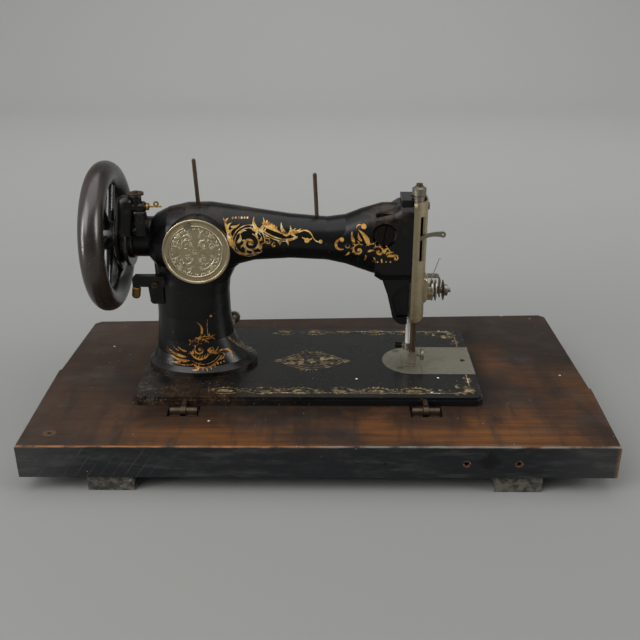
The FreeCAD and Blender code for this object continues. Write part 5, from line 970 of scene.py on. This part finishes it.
    def pillar_scrolls(self, art):
        """A leafy spray on the foot of the pillar, with one tall leaf."""
        art.stroke(bow((-127.5, 107), (-131.6, 124.5), -0.2), leaf_shape(2.8), 14)
        art.stroke(bow((-119.5, 106), (-119.5, 126), 0.04), tapering(0.9, 0.9, 0.3), 12)
        art.dot((-116, 129), 1.5)
        for angle in (-0.7, 0.5, 1.7, 2.9):
            art.leaf((-117, 104), angle, 6, 1.7)
        crest = bow((-137, 102.5), (-119, 105.5), 0.12)
        art.fringe(crest, 4, 4, 1, 0.2, 0.9)
        art.stroke(crest, tapering(1.2, 0.5, 0.5), 16)
        arch = coil((-130, 93), 0.5, 0.36, 12, 11)
        art.stroke(arch, tapering(2.2, 0.4, 0.3), 24)
        art.fringe(arch, 5, 5, -1, 0.1, 0.8)
        cradle = coil((-128, 92), 3.3, 0.4, 11.5, 10)
        art.stroke(cradle, tapering(2.0, 0.4, 0.3), 24)
        art.fringe(cradle, 6, 4.5, -1, 0.1, 0.9)
        art.scroll((-129, 92), 1.2, 1.3, 7.2, 2.0, 6)
        for angle, size in ((0.5, 7), (-0.2, 7), (-0.9, 6), (3.6, 7), (4.2, 6)):
            art.leaf((-121, 90) if angle < 2 else (-136, 91), angle, size, 1.8, 0.15)
        art.leaf((-138, 98), 2.2, 8, 1.9, -0.2)
        for root, angle, size in (((-143, 90), 2.7, 12), ((-143, 84), 2.8, 27),
                                  ((-140, 80), 2.95, 24), ((-152, 90), 2.5, 8),
                                  ((-150, 79), 3.3, 12), ((-160, 86), 2.9, 9)):
            art.leaf(root, angle, size, 1.4 + size * 0.08, 0.1)
        art.stroke(bow((-166, 78), (-128, 78), -0.08), tapering(0.9, 0.5), 20)
        for drop, wide in ((0, 0.8), (3.2, 1.0)):
            sweep = bow((-138, 80 - drop), (-108, 84 - drop), -0.2)
            art.stroke(sweep, tapering(wide, 0.6, 0.6), 20)
        art.fringe(sweep, 7, 5, -1, 0.2, 0.95, 0.5)
        art.stroke(bow((-114, 86), (-95, 77), 0.34), tapering(2.2, 0.3, 0.3), 20)
        art.fan((-115, 86.5), ((0.9, 9), (1.7, 8), (2.6, 8), (0.1, 8)), -0.1)
        art.scroll((-106.5, 82), 2.4, -1.0, 4.4, 0.9, 3)
        art.fan((-130, 72.5), ((3.3, 9), (2.6, 7), (-0.2, 6), (1.6, 5)), 0.15)
        art.beads((-126, 72), (-104, 76.5), 8, 0.8)

    def flank_scrolls(self, art):
        """A long bow with leaves on the flank that faces the needle."""
        spine = bow((30, 69), (-8, 100), 0.14)
        art.fringe(spine, 8, 8, -1, 0.08, 0.9)
        art.stroke(spine, tapering(1.8, 0.6, 0.5), 20)
        art.stroke(bow((42, 68.5), (8, 74), 0.1), tapering(1.3), 16)
        art.scroll((8, 80), 0.6, 1.0, 7, 1.3, 6)
        art.scroll((24, 75), 2.0, -1.0, 5, 1.1, 5)


class MACHINE_OT_cover_relief(bpy.types.Operator):
    """Pressed floral relief and beading on the round cover"""
    bl_idname = "machine.cover_relief"
    bl_label = "Cover relief"

    def execute(self, context):
        centre = (COVER_LOW + COVER_HIGH) / 2
        sunk = 0.00055
        face = COVER_LOW.y + sunk
        art = Ornament(1.25, crown=0.42)
        rim = coil((0, 0), 0.06, 0.235, 23.4, 23.4)
        art.fringe(rim, 9, 4.0, 1, 0.02, 0.98, 1.2)
        art.stroke(bow((20.5, 3), (3, 20.5), -0.16), tapering(0.6), 18)
        art.scroll((8.4, 8.0), -0.5, 1.25, 6.4, 0.75, 6, 0.8)
        art.scroll((19.5, 8.5), 2.6, -0.95, 3.6, 0.5, 3)
        art.scroll((8.5, 19.5), 0.2, 0.95, 3.6, 0.5, 3)
        art.leaves(((13.5, 13.5), 0.78, 10, 1.9, 0.0), ((14, 13), 0.25, 8.5, 1.3, 0.16),
                   ((13, 14), 1.32, 8.5, 1.3, -0.16), ((3.0, 15), 1.2, 9, 1.4, -0.14),
                   ((15, 3.0), 0.37, 9, 1.4, 0.14), ((1.0, 4.5), 1.2, 8, 1.0, -0.14),
                   ((4.5, 1.0), 0.37, 8, 1.0, 0.14))
        art.mirrored(0, 0)
        art.mirrored(1, 0)
        art.rosette((0, 0), 4.6, 8)
        for index in range(8):
            art.dot(turned(math.tau * (index + 0.5) / 8) * 25.6, 0.6)

        def place(u, v, height):
            return Vector((centre.x + u, face - height, centre.z + v))
        work = art.laid(place)
        bmesh.ops.reverse_faces(work, faces=work.faces)
        relief = Finish("pressed_relief", Metallic=1.0)
        blotch = relief.noise(220, 5, rough=0.7)
        body = relief.blend(blotch.rise(0.4, 0.7), tone("DDD2B4"), tone("8C7D5A"))
        made = piece("cover_relief", work,
                     relief.feed(Base_Color=body, Roughness=0.34 + blotch * 0.15))
        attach(made, "cover")
        return {"FINISHED"}


# Add-on -----------------------------------------------------------------------------------

class MACHINE_PT_panel(bpy.types.Panel):
    """Lists the steps in the order they are made"""
    bl_label = "Sewing Machine"
    bl_idname = "MACHINE_PT_panel"
    bl_space_type = "VIEW_3D"
    bl_region_type = "UI"
    bl_category = "Sewing Machine"

    def draw(self, context):
        for step in STEPS:
            self.layout.operator(step.bl_idname)


STEPS = (MACHINE_OT_stage, MACHINE_OT_board, MACHINE_OT_castings, MACHINE_OT_fittings,
         MACHINE_OT_bed_ornament, MACHINE_OT_arm_ornament, MACHINE_OT_cover_relief)
LOOKS = (("machine_stage", StageLook), ("machine_board", BoardLook),
         ("machine_enamel", EnamelLook), ("machine_metal", MetalLook),
         ("machine_ornament", OrnamentLook))


def register():
    for name, look in LOOKS:
        bpy.utils.register_class(look)
        setattr(bpy.types.Scene, name, PointerProperty(type=look))
    for step in STEPS:
        bpy.utils.register_class(step)
    bpy.utils.register_class(MACHINE_PT_panel)


def unregister():
    bpy.utils.unregister_class(MACHINE_PT_panel)
    for step in reversed(STEPS):
        bpy.utils.unregister_class(step)
    for name, look in reversed(LOOKS):
        delattr(bpy.types.Scene, name)
        bpy.utils.unregister_class(look)


def main():
    register()
    bpy.ops.machine.stage()
    bpy.ops.machine.board()
    bpy.ops.machine.castings()
    bpy.ops.machine.fittings()
    bpy.ops.machine.bed_ornament()
    bpy.ops.machine.arm_ornament()
    bpy.ops.machine.cover_relief()


if __name__ == "__main__":
    main()
